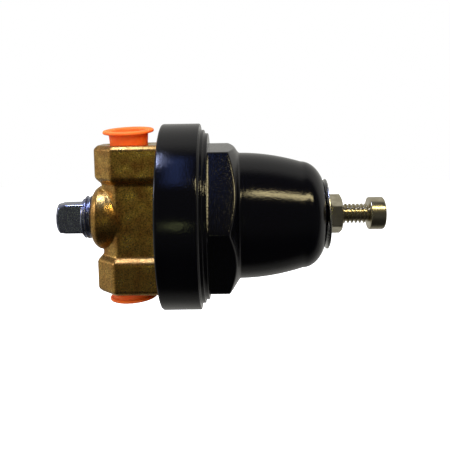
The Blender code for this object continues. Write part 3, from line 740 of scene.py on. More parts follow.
@dataclass
class ThreadedRod:
    """Solid rod along +X with a right-handed rounded thread; sizes in millimetres."""

    name: str
    start: float
    length: float
    radius: float
    depth: float
    pitch: float
    fade: float
    widening: float = 0.0
    rows_per_mm: float = 8.0
    columns: int = 96

    def build(self, finish: Finish) -> bpy.types.Mesh:
        """Grow the rod.

        Args:
            finish: finish of the rod.

        Returns:
            The closed mesh, in metres, starting at the rod's start.
        """
        shape = NodeShape(
            self.name,
            {
                "Length": self.length * MM,
                "Core radius": (self.radius - self.depth) * MM,
                "Depth": self.depth * MM,
                "Pitch": self.pitch * MM,
                "Fade": self.fade * MM,
                "Widening": self.widening,
            },
        )
        tree, given = shape.tree, shape.given
        rows = int(self.length * self.rows_per_mm) + 3
        last = (rows - 1) / 2
        size = {"Size X": 2 * last, "Size Y": TURN, "Vertices X": rows, "Vertices Y": self.columns + 1}
        grid = add_node(tree, "GeometryNodeMeshGrid", size)["Mesh"]
        spot = add_node(tree, "GeometryNodeInputPosition")[0]
        row, bearing, _ = add_node(tree, "ShaderNodeSeparateXYZ", {0: spot})
        angle = add_node(tree, "ShaderNodeMath", {0: bearing, 1: math.pi}, operation="ADD")[0]
        # The rows count from the middle. The first and last shrink to the axis and close the rod.
        ends = {"Value": row, "From Min": 1.0 - last, "From Max": last - 1.0, "To Max": given["Length"]}
        along = add_node(tree, "ShaderNodeMapRange", ends)[0]
        off_middle = add_node(tree, "ShaderNodeMath", {0: row}, operation="ABSOLUTE")[0]
        is_open = add_node(
            tree, "ShaderNodeMath", {0: off_middle, 1: last - 0.5}, operation="LESS_THAN"
        )[0]
        # Turns of the helix at each vertex: whole numbers are roots and halves are crests.
        travel = add_node(
            tree, "ShaderNodeMath", {0: along, 1: given["Pitch"]}, operation="DIVIDE"
        )[0]
        turns = add_node(
            tree, "ShaderNodeMath", {0: angle, 1: -1.0 / TURN, 2: travel}, operation="MULTIPLY_ADD"
        )[0]
        from_root = add_node(tree, "ShaderNodeMath", {0: turns, 1: 0.5}, operation="PINGPONG")[0]
        to_end = add_node(
            tree, "ShaderNodeMath", {0: given["Length"], 1: along}, operation="SUBTRACT"
        )[0]
        near_end = add_node(tree, "ShaderNodeMath", {0: along, 1: to_end}, operation="MINIMUM")[0]
        crest = add_node(
            tree,
            "ShaderNodeMapRange",
            {"Value": near_end, "From Max": given["Fade"], "To Max": given["Depth"]},
            interpolation_type="SMOOTHSTEP",
        )[0]
        ridge = add_node(
            tree,
            "ShaderNodeMapRange",
            {"Value": from_root, "From Min": 0.06, "From Max": 0.44, "To Max": crest},
            interpolation_type="SMOOTHSTEP",
        )[0]
        core = add_node(
            tree,
            "ShaderNodeMath",
            {0: along, 1: given["Widening"], 2: given["Core radius"]},
            operation="MULTIPLY_ADD",
        )[0]
        full = add_node(tree, "ShaderNodeMath", {0: core, 1: ridge}, operation="ADD")[0]
        radius = add_node(tree, "ShaderNodeMath", {0: full, 1: is_open}, operation="MULTIPLY")[0]
        bent = shape.swing(grid, along, radius, angle)
        whole = add_node(
            tree, "GeometryNodeMergeByDistance", {"Geometry": bent, "Distance": 0.0005 * MM}
        )[0]
        mesh = shape.close(whole, finish)
        mesh.transform(Matrix.Translation((self.start * MM, 0, 0)))
        return mesh


@dataclass
class Coil:
    """Compression spring along +X with closed end coils; sizes in millimetres."""

    name: str
    start: float
    length: float
    radius: float
    wire: float
    active: float
    closed: float
    points_per_turn: int = 40
    sides: int = 14

    def build(self, finish: Finish) -> bpy.types.Mesh:
        """Grow the spring.

        Args:
            finish: finish of the wire.

        Returns:
            The closed mesh, in metres.
        """
        turns = self.active + 2 * self.closed
        shut = 2.04 * self.wire
        shape = NodeShape(
            self.name,
            {
                "Radius": self.radius * MM,
                "Wire": self.wire * MM,
                "Closed rise": shut * self.closed * MM,
                "Open rise": (self.length - 2 * self.wire - 2 * shut * self.closed) * MM,
                "Start": (self.start + self.wire) * MM,
            },
        )
        tree, given = shape.tree, shape.given
        count = int(turns * self.points_per_turn) + 1
        line = add_node(tree, "GeometryNodeMeshLine", {"Count": count, "Offset": (MM, 0.0, 0.0)})[0]
        index = add_node(tree, "GeometryNodeInputIndex")[0]
        turn = add_node(
            tree, "ShaderNodeMath", {0: index, 1: 1.0 / self.points_per_turn}, operation="MULTIPLY"
        )[0]
        along = given["Start"]
        steps = (
            (0.0, self.closed, "Closed rise"),
            (self.closed, self.closed + self.active, "Open rise"),
            (self.closed + self.active, turns, "Closed rise"),
        )
        for low, high, rise in steps:
            part = {"Value": turn, "From Min": low, "From Max": high, "To Max": given[rise]}
            climb = add_node(tree, "ShaderNodeMapRange", part)[0]
            along = add_node(tree, "ShaderNodeMath", {0: along, 1: climb}, operation="ADD")[0]
        angle = add_node(tree, "ShaderNodeMath", {0: turn, 1: TURN}, operation="MULTIPLY")[0]
        path = shape.swing(line, along, given["Radius"], angle)
        curve = add_node(tree, "GeometryNodeMeshToCurve", {0: path})[0]
        ring = add_node(
            tree,
            "GeometryNodeCurvePrimitiveCircle",
            {"Resolution": self.sides, "Radius": given["Wire"]},
        )[0]
        sweep = {"Curve": curve, "Profile Curve": ring, "Fill Caps": True}
        return shape.close(add_node(tree, "GeometryNodeCurveToMesh", sweep)[0], finish)


class SurfaceNet:
    """Skins the zero level of a distance field over a regular grid."""

    PROBE = 0.02
    FLATTEST = 0.05

    def __init__(self, field: Callable[[np.ndarray], np.ndarray], step: float) -> None:
        """Remember the field and the grid's step in millimetres."""
        self.field = field
        self.step = step

    def project(self, places: np.ndarray, rounds: int = 4) -> np.ndarray:
        """Move places onto the zero level.

        Args:
            places: points near the surface.
            rounds: number of Newton steps.

        Returns:
            The moved points.
        """
        for _ in range(rounds):
            value = self.field(places)
            slope = np.zeros_like(places)
            for axis in range(3):
                shift = np.zeros(3)
                shift[axis] = self.PROBE
                rise = self.field(places + shift) - self.field(places - shift)
                slope[:, axis] = rise / (2 * self.PROBE)
            length = np.maximum((slope**2).sum(axis=1), self.FLATTEST)
            move = slope * (value / length)[:, None]
            places = places - np.clip(move, -0.5 * self.step, 0.5 * self.step)
        return places

    def build(self, name: str, low: Sequence[float], high: Sequence[float]) -> bpy.types.Mesh:
        """Skin the field between two corners.

        Args:
            name: name of the mesh.
            low: lowest corner, outside the shape.
            high: highest corner, outside the shape.

        Returns:
            The closed mesh.
        """
        axes = [np.arange(a, b + self.step, self.step) for a, b in zip(low, high)]
        counts = [len(axis) for axis in axes]
        mesh_grid = np.meshgrid(*axes, indexing="ij")
        points = np.stack([g.ravel() for g in mesh_grid], axis=-1)
        values = self.field(points).reshape(counts)
        inside = values < 0.0
        corners = [(i, j, k) for i in (0, 1) for j in (0, 1) for k in (0, 1)]
        total = np.zeros([n - 1 for n in counts], dtype=int)
        for i, j, k in corners:
            total += inside[
                i : counts[0] - 1 + i, j : counts[1] - 1 + j, k : counts[2] - 1 + k
            ]
        cells = np.argwhere((total > 0) & (total < 8))
        number = np.full(total.shape, -1)
        number[tuple(cells.T)] = np.arange(len(cells))
        heights = {
            c: values[cells[:, 0] + c[0], cells[:, 1] + c[1], cells[:, 2] + c[2]] for c in corners
        }
        middle = np.zeros((len(cells), 3))
        crossed = np.zeros(len(cells))
        for start in corners:
            for axis in range(3):
                if start[axis]:
                    continue
                end = tuple(1 if n == axis else start[n] for n in range(3))
                first, second = heights[start], heights[end]
                change = (first < 0) != (second < 0)
                share = np.where(change, first / np.where(change, first - second, 1.0), 0.0)
                for n in range(3):
                    middle[:, n] += np.where(change, start[n] + (share if n == axis else 0.0), 0.0)
                crossed += change
        middle /= crossed[:, None]
        places = np.array([axis[0] for axis in axes]) + (cells + middle) * self.step
        places = self.project(places)
        faces = []
        for axis in range(3):
            one, two = [n for n in range(3) if n != axis]
            ahead = [slice(None)] * 3
            back = [slice(None)] * 3
            ahead[axis] = slice(1, None)
            back[axis] = slice(None, -1)
            edges = np.argwhere(inside[tuple(ahead)] != inside[tuple(back)])
            keep = (edges[:, one] > 0) & (edges[:, two] > 0)
            keep &= (edges[:, one] < counts[one] - 1) & (edges[:, two] < counts[two] - 1)
            edges = edges[keep]
            quad = []
            for back_one, back_two in ((1, 1), (0, 1), (0, 0), (1, 0)):
                cell = edges.copy()
                cell[:, one] -= back_one
                cell[:, two] -= back_two
                quad.append(number[tuple(cell.T)])
            faces.append(np.stack(quad, axis=-1))
        return make_mesh(name, places, np.concatenate(faces))


class ProfileField:
    """Signed distance to a turned shape, looked up in a table."""

    STEP = 0.1
    MARGIN = 4.0
    RADIAL_MARGIN = 14.0

    def __init__(self, profile: Profile) -> None:
        """Measure the profile.

        Args:
            profile: axial place and radius of each point, from axis to axis.
        """
        points = np.array(profile)
        self.start = points[:, 0].min() - self.MARGIN
        along = np.arange(self.start, points[:, 0].max() + self.MARGIN, self.STEP)
        across = np.arange(0.0, points[:, 1].max() + self.RADIAL_MARGIN, self.STEP)
        x, r = np.meshgrid(along, across, indexing="ij")
        distance = np.full(x.shape, 1e9)
        inside = np.zeros(x.shape, dtype=bool)
        for (x0, r0), (x1, r1) in zip(points, points[1:]):
            dx, dr = x1 - x0, r1 - r0
            size = max(dx * dx + dr * dr, 1e-12)
            share = np.clip(((x - x0) * dx + (r - r0) * dr) / size, 0.0, 1.0)
            distance = np.minimum(distance, np.hypot(x - x0 - share * dx, r - r0 - share * dr))
            if dx:
                line = r0 + (x - x0) * dr / dx
                inside ^= ((x0 <= x) != (x1 <= x)) & (r < line)
        self.table = np.where(inside, -distance, distance)

    def __call__(self, x: np.ndarray, r: np.ndarray) -> np.ndarray:
        """Look distances up.

        Args:
            x: axial places.
            r: distances from the axis.

        Returns:
            Signed distances, negative inside.
        """
        rows, columns = self.table.shape
        i = np.clip((x - self.start) / self.STEP, 0.0, rows - 1.001)
        j = np.clip(r / self.STEP, 0.0, columns - 1.001)
        i0, j0 = i.astype(int), j.astype(int)
        a, b = i - i0, j - j0
        low = self.table[i0, j0] * (1 - b) + self.table[i0, j0 + 1] * b
        high = self.table[i0 + 1, j0] * (1 - b) + self.table[i0 + 1, j0 + 1] * b
        return low * (1 - a) + high * a


@dataclass
class BodyCasting:
    """Cast brass body with two port arms, a plug boss and a clamping flange."""

    arm_half: float = 10.5
    arm_start: float = 13.1
    arm_end: float = 23.3
    arm_chamfer: float = 1.2
    waist_half: float = 8.65
    waist_reach: float = 18.0
    waist_end: float = 0.0
    corner: float = 0.6
    neck: float = 0.5
    faced_edge: float = 0.12
    chamfer_edge: float = 0.35
    boss_start: float = -11.65
    boss_end: float = -0.5
    boss_mouth: float = 7.9
    boss_radius: float = 10.1
    boss_root: float = 0.45
    flange_start: float = 12.2
    flange_radius: float = 26.2
    flange_root: float = 1.2
    seal_face: float = 17.0
    net_step: float = 0.36
    port_radius: float = 6.35
    port_depth: float = 12.5
    sink_radius: float = 7.1
    sink_depth: float = 0.8
    pipe_pitch: float = 25.4 / 18.0
    pipe_taper: float = 1.0 / 32.0
    plug_bore: float = 6.8
    plug_bore_end: float = -4.4
    inlet_radius: float = 5.2
    inlet_end: float = 1.2
    neck_radius: float = 3.65
    seat_start: float = 2.4
    seat_bore: float = 4.7
    outlet_start: float = 8.3
    outlet_radius: float = 5.2
    dish_start: float = 13.4
    dish_radius: float = 20.0
    passage_radius: float = 2.8

    def __post_init__(self) -> None:
        """Prepare the turned parts of the field."""
        self.waist_end = self.arm_start - (self.arm_half - self.waist_half)
        start, swell = self.boss_start, self.boss_radius
        boss = rounded(
            [
                (start, 0.0),
                (start, self.boss_mouth, 0.35),
                (start + 0.7, swell - 1.0, 0.9),
                (start + 2.05, swell + 0.05, 1.2),
                (start + 4.65, swell, 2.0),
                (start + 6.65, swell - 0.3, 2.0),
                (start + 8.65, swell - 0.95, 2.0),
                (start + 10.15, swell - 1.7, 2.0),
                (self.boss_end, swell - 3.0),
                (self.boss_end, 0.0),
            ]
        )
        self.boss = ProfileField(boss)
        face, back, edge = self.seal_face, self.flange_start, self.flange_radius
        flange = rounded([(back, 0.0), (back, edge, 0.5), (face, edge, 0.1), (face, 0.0)])
        self.flange = ProfileField(flange)

    def field(self, places: np.ndarray) -> np.ndarray:
        """Distance from the casting's rough surface.

        Args:
            places: points in millimetres.

        Returns:
            Distances, negative inside the metal.
        """
        x, y, z = places[:, 0], np.abs(places[:, 1]), np.abs(places[:, 2])
        slant = math.sqrt(0.5)
        across = smooth_max(y, -x, self.corner)
        across = smooth_max(across, (y - x) * slant, self.corner)
        ledge = (across - z + self.waist_end - self.waist_half) * slant
        arms = smooth_max(across - self.arm_half, ledge, self.corner)
        arms = smooth_max(arms, z - self.arm_end, self.faced_edge)
        end = across + z - self.arm_half - self.arm_end + self.arm_chamfer
        arms = smooth_max(arms, end * slant, self.chamfer_edge)
        waist = smooth_max(across - self.waist_half, z - self.waist_reach, self.neck)
        shape = smooth_min(arms, waist, self.neck)
        # The block ends inside the flange.
        shape = smooth_max(shape, x - self.flange_start - 2.0, 0.2)
        turned = np.hypot(places[:, 1], places[:, 2])
        shape = smooth_min(shape, self.boss(x, turned), self.boss_root)
        return smooth_min(shape, self.flange(x, turned), self.flange_root)

    def port_tools(self, sign: int) -> list[bpy.types.Mesh]:
        """Make the tapered bore and the thread that are cut into one port.

        Args:
            sign: 1 for the upper port, -1 for the lower one.

        Returns:
            The tools, in place.
        """
        side = "upper" if sign > 0 else "lower"
        floor = self.arm_end - self.port_depth
        deep = self.port_radius - self.port_depth * self.pipe_taper
        over = self.arm_end + 1.0
        bore = lathe(
            f"{side}_bore_tool",
            [
                (floor - 0.9, 0.0),
                (floor, deep),
                (self.arm_end - self.sink_depth, self.port_radius),
                (self.arm_end, self.sink_radius),
                (over, self.sink_radius),
                (over, 0.0),
            ],
            TOOL_COLUMNS,
            loop=False,
        )
        thread = ThreadedRod(
            name=f"{side}_thread_tool",
            start=floor + 1.6,
            length=self.port_depth + 1.2,
            radius=deep + 0.42,
            depth=0.75,
            pitch=self.pipe_pitch,
            fade=1.5,
            widening=self.pipe_taper,
            rows_per_mm=7.0,
        ).build(Finish.TURNED_BRASS)
        aim = Matrix.Rotation(-sign * math.pi / 2, 4, "Y")
        for tool in (bore, thread):
            tool.transform(aim)
        return [bore, thread]

    def axis_tool(self) -> bpy.types.Mesh:
        """Make the stepped tool for every bore on the spring axis.

        Returns:
            The tool, in place.
        """
        before, beyond = self.boss_start - 1.0, self.seal_face + 1.0
        mouth = self.plug_bore + 0.35
        shelf = self.dish_radius + 0.6
        return lathe(
            "axis_bore_tool",
            [
                (before, 0.0),
                (before, mouth),
                (self.boss_start + 0.7, mouth),
                (self.boss_start + 0.9, self.plug_bore),
                (self.plug_bore_end, self.plug_bore - 0.21),
                (self.plug_bore_end + 0.6, self.inlet_radius),
                (self.inlet_end, self.inlet_radius),
                (self.inlet_end, self.neck_radius),
                (self.seat_start, self.neck_radius),
                (self.seat_start, self.seat_bore),
                (self.outlet_start - 0.6, self.seat_bore),
                (self.outlet_start, self.outlet_radius),
                (self.dish_start - 0.6, self.outlet_radius),
                (self.dish_start, self.outlet_radius + 2.6),
                (self.dish_start + 0.9, self.dish_radius - 1.0),
                (self.seal_face - 0.8, self.dish_radius),
                (self.seal_face, shelf),
                (beyond, shelf),
                (beyond, 0.0),
            ],
            TOOL_COLUMNS,
            loop=False,
        )

    def passage_tool(self, start: Vector, end: Vector, name: str) -> bpy.types.Mesh:
        """Make a drill between two points.

        Args:
            start: where the drilling starts.
            end: where it ends.
            name: name of the tool.

        Returns:
            The tool, in place.
        """
        way = end - start
        bit = self.passage_radius
        mesh = lathe(name, [(0, 0), (0, bit), (way.length, bit), (way.length, 0)], 64, loop=False)
        turn = Vector((1, 0, 0)).rotation_difference(way).to_matrix().to_4x4()
        mesh.transform(Matrix.Translation(start * MM) @ turn)
        return mesh

    def finish_slot(self, centre: Vector) -> int:
        """Tell how a face was made by where it lies.

        Args:
            centre: the middle of the face, in millimetres.

        Returns:
            0 for the cast skin, 1 for a faced or threaded port, 2 for what a lathe turned.
        """
        x, y, z = centre
        from_port, from_axis = math.hypot(x, y), math.hypot(y, z)
        floor = self.arm_end - self.port_depth
        if abs(z) > self.arm_end - 0.06:
            return 1
        if from_port < self.sink_radius + 0.05 and abs(z) > floor - 1.0:
            return 1
        in_dish = from_axis < self.dish_radius + 0.7 and x > self.dish_start - 0.5
        in_plug_bore = from_axis < self.plug_bore + 0.4 and x < 0.0
        on_face = x > self.seal_face - 0.05 or x < self.boss_start + 0.05
        return 2 if in_dish or in_plug_bore or on_face else 0

    def build(self) -> None:
        """Skin the casting, bore it and dress its machined faces."""
        net = SurfaceNet(self.field, self.net_step)
        reach = self.flange_radius + 1.2
        rough = net.build("body_casting", (-13.0, -reach, -reach), (18.2, reach, reach))
        floor = self.arm_end - self.port_depth
        outlet = (Vector((3.0, 0, floor + 0.5)), Vector((10.8, 0, 4.6)))
        inlet = (Vector((-1.2, 0, -floor - 0.5)), Vector((-1.8, 0, -3.2)))
        tools = [
            self.axis_tool(),
            *self.port_tools(1),
            *self.port_tools(-1),
            self.passage_tool(*outlet, "outlet_tool"),
            self.passage_tool(*inlet, "inlet_tool"),
        ]
        mesh = combine(rough, tools, "DIFFERENCE")
        mesh.materials.clear()
        for finish in (Finish.CAST_BRASS, Finish.PORT_BRASS, Finish.TURNED_BRASS):
            mesh.materials.append(finish.material())
        for face in mesh.polygons:
            face.material_index = self.finish_slot(face.center / MM)
        piece = place(mesh, "body_casting", Finish.CAST_BRASS, 35.0)
        report(piece, "regulator", "valve_body")


@dataclass
class PipePlug:
    """Zinc-plated plug with a square head and a taper thread."""

    across: float = 9.2
    head_end: float = -23.0
    shoulder: float = -15.0
    head_turn_deg: float = 1.0
    head_corner: float = 26.0
    thread_radius: float = 6.9
    thread_depth: float = 0.85
    thread_length: float = 4.4
    pitch: float = 25.4 / 18.0
    inner_start: float = -11.6
    inner_end: float = -5.0
    bore: float = 3.3
    bore_depth: float = 5.0
    columns: int = 192

    def build(self) -> None:
        """Skin the head, grow the thread and join them."""
        angle = bearings(self.columns)
        square = flats(angle, 4, self.across, self.head_turn_deg, self.head_corner)
        corner = self.across / math.sqrt(2.0)
        limit = rounded(
            [
                (self.head_end, corner - 2.6),
                (self.head_end, corner - 1.9, 0.3),
                (self.head_end + 0.9, corner - 0.75, 1.0),
                (self.head_end + 3.0, corner - 0.05, 2.0),
                (self.shoulder, corner + 0.2),
            ]
        )
        rows = np.array(limit)
        radius = smooth_min(square, rows[:, 1:], 0.35)
        flat_end = radius[:1] * np.array([[0.0], [0.5], [0.9]])
        along = np.concatenate([[self.head_end - 0.01] * 3, rows[:, 0], [self.shoulder + 0.6] * 2])
        radius = np.concatenate([flat_end, radius, radius[-1:], radius[-1:] * 0.0])
        head = skin("plug_head", along[:, None], radius, loop=False)
        thread = ThreadedRod(
            name="plug_thread",
            start=self.shoulder,
            length=self.thread_length,
            radius=self.thread_radius,
            depth=self.thread_depth,
            pitch=self.pitch,
            fade=0.7,
            rows_per_mm=16.0,
            columns=160,
        ).build(Finish.ZINC)
        bore_floor = self.inner_end - self.bore_depth
        inner = lathe(
            "plug_inner",
            [
                (self.inner_start, 0.0),
                (self.inner_start, 6.3),
                (self.inner_end - 0.6, 6.25),
                (self.inner_end, 5.7),
                (self.inner_end, self.bore),
                (bore_floor, self.bore),
                (bore_floor, 0.0),
            ],
            TOOL_COLUMNS,
            loop=False,
        )
        mesh = combine(head, [thread, inner], "UNION")
        mesh.materials.clear()
        report(place(mesh, "pipe_plug_looks", Finish.ZINC, 30.0), "regulator", "pipe_plug")


@dataclass
class SpringChamber:
    """Black enamelled chamber: skirt ring, two steps, hexagon, dome and nose."""

    ring_start: float = 10.6
    ring_end: float = 22.7
    ring_radius: float = 29.5
    bore: float = 26.5
    step_one: float = 27.5
    step_one_end: float = 24.0
    step_two: float = 26.4
    step_two_end: float = 25.2
    hex_across: float = 44.0
    hex_turn_deg: float = 27.0
    hex_corner: float = 90.0
    hex_end: float = 33.2
    dome_start: float = 34.6
    dome_radius: float = 20.0
    barrel: float = 0.0077
    nose_start: float = 54.5
    nose_end: float = 62.1
    nose_flat: float = 5.9
    hole: float = 3.475
    wall: float = 2.6
    end_wall: float = 3.9
    shoulder: float = 19.3
    slip_radius: float = 20.7
    columns: int = 432

    def dome(self, x: np.ndarray) -> np.ndarray:
        """Outer radius of dome and nose.

        Args:
            x: axial places.

        Returns:
            The radius at each place.
        """
        body = self.dome_radius - self.barrel * (x - self.dome_start) ** 2
        start = self.dome_radius - self.barrel * (self.nose_start - self.dome_start) ** 2
        share = np.clip((x - self.nose_start) / (self.nose_end - self.nose_start), 0.0, 1.0)
        nose = self.nose_flat + (start - self.nose_flat) * np.sqrt(1.0 - share**2)
        return np.where(x < self.nose_start, body, nose)

    def outside(self) -> tuple[np.ndarray, np.ndarray]:
        """Lay out the outer skin from the ring's rim to the screw hole.

        Returns:
            The axial places of the rows, and their radii.
        """
        angle = bearings(self.columns)
        hexagon = flats(angle, 6, self.hex_across, self.hex_turn_deg, self.hex_corner)
        front = rounded(
            [
                (self.ring_start, self.bore + 0.6, 0.0),
                (self.ring_start, self.ring_radius, 0.8),
                (self.ring_end, self.ring_radius, 0.5),
                (self.ring_end, self.step_one + 0.5, 0.3),
                (self.ring_end + 0.4, self.step_one, 0.2),
                (self.step_one_end, self.step_one, 0.4),
                (self.step_one_end, self.step_two + 0.2, 0.2),
                (self.step_one_end + 0.4, self.step_two, 0.2),
                (self.step_two_end, self.step_two, 0.4),
                (self.step_two_end, self.step_two - 0.7),
            ],
            5,
        )
        along = [x for x, _ in front]
        rows = [np.full(self.columns, r) for _, r in front]
        edge = rows[-1]
        for share in (0.4, 0.75, 1.0):
            along.append(self.step_two_end + (0.1 if share == 1.0 else 0.0))
            rows.append(edge * (1 - share) + (hexagon + 0.06) * share)
        hex_x = np.concatenate(
            [
                (25.5, 25.65, 26.0),
                np.arange(26.6, 30.6, 0.8),
                np.arange(30.6, 35.8, 0.13),
                np.arange(36.0, 54.4, 0.8),
            ]
        )
        nose = self.nose_start + (self.nose_end - self.nose_start) * np.sin(
            np.linspace(0.0, math.pi / 2, 22)
        )
        x_rows = np.concatenate([hex_x, nose])
        # The crown that is turned over the hexagon's corners, down into the dome.
        end = self.hex_end
        crown = np.interp(
            x_rows,
            [25.0, 31.0, end - 1.4, end - 0.5, end + 1.3, end + 3.8],
            [27.0, 25.9, 24.6, 23.1, 20.3, 16.0],
        )
        dome = self.dome(x_rows)
        for x, edge, radius in zip(x_rows, crown, dome):
            wrench = smooth_min(hexagon, np.full(self.columns, edge), 0.5)
            row = smooth_max(wrench, np.full(self.columns, radius), 0.7) if x < end + 3.8 else radius
            along.append(x)
            rows.append(np.broadcast_to(row, (self.columns,)))
        mouth = rounded(
            [(self.nose_end, self.nose_flat - 0.2), (self.nose_end, self.hole, 0.35), (58.4, self.hole)]
        )
        for x, radius in mouth:
            along.append(x)
            rows.append(np.full(self.columns, radius))
        return np.array(along), np.array(rows)

    def inside(self) -> tuple[np.ndarray, np.ndarray]:
        """Lay out the hollow from the screw hole back to the ring's rim.

        Returns:
            The axial places of the rows, and their radii.
        """
        floor = self.nose_end - self.end_wall
        x_nose = self.nose_start + (floor - self.nose_start) * np.sin(np.linspace(1.5, 0.0, 9))
        start = self.dome(np.array([self.nose_start]))[0] - self.wall
        share = (x_nose - self.nose_start) / (floor - self.nose_start)
        nose = self.hole + 1.6 + (start - self.hole - 1.6) * np.sqrt(1.0 - share**2)
        x_back = np.linspace(self.nose_start - 1.0, self.dome_start, 8)
        back = self.dome(x_back) - self.wall
        rest = [
            (self.shoulder + 5.5, self.dome_radius - self.wall),
            (self.shoulder + 2.0, self.slip_radius),
            (self.shoulder, self.slip_radius),
            (self.shoulder, self.bore),
            (self.ring_start + 0.6, self.bore),
        ]
        along = np.concatenate([[floor], x_nose, x_back, [x for x, _ in rest]])
        radius = np.concatenate([[self.hole], nose, back, [r for _, r in rest]])
        return along, np.repeat(radius[:, None], self.columns, axis=1)

    def build(self) -> None:
        """Skin the chamber inside and out."""
        outer_x, outer_r = self.outside()
        inner_x, inner_r = self.inside()
        along = np.concatenate([outer_x, inner_x])[:, None]
        mesh = skin("chamber", along, np.concatenate([outer_r, inner_r]), loop=True)
        piece = place(mesh, "chamber_casting", Finish.ENAMEL, 55.0)
        report(piece, "regulator", "spring_chamber")


@dataclass
class NameDisc:
    """Thin bare disc under the lock nut, bent by handling."""

    radius: float = 11.2
    thick: float = 0.5
    face: float = 62.45
    hole: float = 3.6
    flat_share: float = 0.45
    droop: float = 0.28
    sway: float = 0.22
    ripple: float = 0.1
    columns: int = 120

    def build(self) -> None:
        """Skin the disc and bend its rim."""
        rings = (self.hole, self.radius * 0.5, self.radius * 0.8)
        front = [(0.0, r) for r in rings] + [(0.0, self.radius, 0.2)]
        back = [(self.thick, self.radius, 0.2)] + [(self.thick, r) for r in reversed(rings)]
        along, radius = spin(rounded(front + back), self.columns)
        reach = np.clip(radius / self.radius - self.flat_share, 0.0, None) / (1.0 - self.flat_share)
        angle = bearings(self.columns)
        wave = self.droop + self.sway * np.sin(angle + 0.6) + self.ripple * np.sin(3 * angle)
        mesh = skin("disc", along + self.face - reach * wave, radius, loop=True)
        report(place(mesh, "bent_disc", Finish.ALUMINIUM), "regulator", "name_disc")


@dataclass
class LockNut:
    """Thin hexagon nut with chamfered corners."""

    across: float = 11.1
    start: float = 63.3
    thick: float = 4.0
    hole: float = 3.475
    hole_chamfer: float = 0.7
    turn_deg: float = 0.0
    corner: float = 70.0
    columns: int = 180

    def build(self) -> None:
        """Skin the nut."""
        hexagon = flats(bearings(self.columns), 6, self.across, self.turn_deg, self.corner)
        flat, point = self.across / 2, self.across / math.sqrt(3.0)
        # The chamfer climbs from just inside the flats to past the points.
        climb = (point - flat + 0.2) / 0.55
        rows = [(0.0, flat - 0.5), (0.0, flat - 0.2)]
        rows += [(depth, flat - 0.2 + depth * climb) for depth in (0.12, 0.25, 0.4, 0.6)]
        rows.append((self.thick * 0.4, point + 1.0))
        rows += [(self.thick - x, r) for x, r in reversed(rows)]
        outer_x, limit = spin(rows, self.columns)
        outer = smooth_min(hexagon, limit, 0.12)
        mouth = self.hole + self.hole_chamfer
        inner = [(self.thick, mouth), (self.thick - 0.5, self.hole), (0.5, self.hole), (0.0, mouth)]
        inner_x, inner_r = spin(inner, self.columns)
        along = np.concatenate([outer_x, inner_x]) + self.start
        mesh = skin("nut", along, np.concatenate([outer, inner_r]), loop=True)
        report(place(mesh, "lock_nut_looks", Finish.STAINLESS, 28.0), "nut", "lock_nut")


@dataclass
class AdjustingScrew:
    """Socket-headed screw that sets the spring."""

    tip: float = 51.45
    radius: float = 3.175
    depth: float = 0.72
    pitch: float = 1.27
    head: float = 76.0
    head_thick: float = 5.1
    head_radius: float = 5.2
    socket_across: float = 4.0
    socket_depth: float = 2.8
    socket_turn_deg: float = 12.0
    socket_corner: float = 120.0
    columns: int = 90

    def build(self) -> None:
        """Grow the thread, skin the head and cut the socket."""
        thread = ThreadedRod(
            name="screw_thread",
            start=self.tip,
            length=self.head - self.tip + 0.3,
            radius=self.radius,
            depth=self.depth,
            pitch=self.pitch,
            fade=1.3,
            rows_per_mm=14.0,
        ).build(Finish.STAINLESS)
        end = self.head + self.head_thick
        outline = rounded(
            [
                (self.head, 0.0),
                (self.head, self.head_radius, 0.4),
                (end - 0.3, self.head_radius, 1.1),
                (end, self.head_radius - 1.4, 0.8),
                (end, 0.0),
            ],
            6,
        )
        head = lathe("screw_head", outline, 120, loop=False)
        angle = bearings(self.columns)
        shape = flats(angle, 6, self.socket_across, self.socket_turn_deg, self.socket_corner)
        floor = end - self.socket_depth
        along = np.array([[floor - 0.9], [floor], [end + 1.0], [end + 1.0]])
        radius = np.stack([shape * 0.0, shape, shape, shape * 0.0])
        socket = skin("socket_tool", along, radius, loop=False)
        mesh = combine(combine(thread, [head], "UNION"), [socket], "DIFFERENCE")
        mesh.materials.clear()
        report(place(mesh, "screw_looks", Finish.STAINLESS, 30.0), "screw", "adjusting_screw")


class Side(Enum):
    """The two ports."""

    UPPER = 1
    LOWER = -1


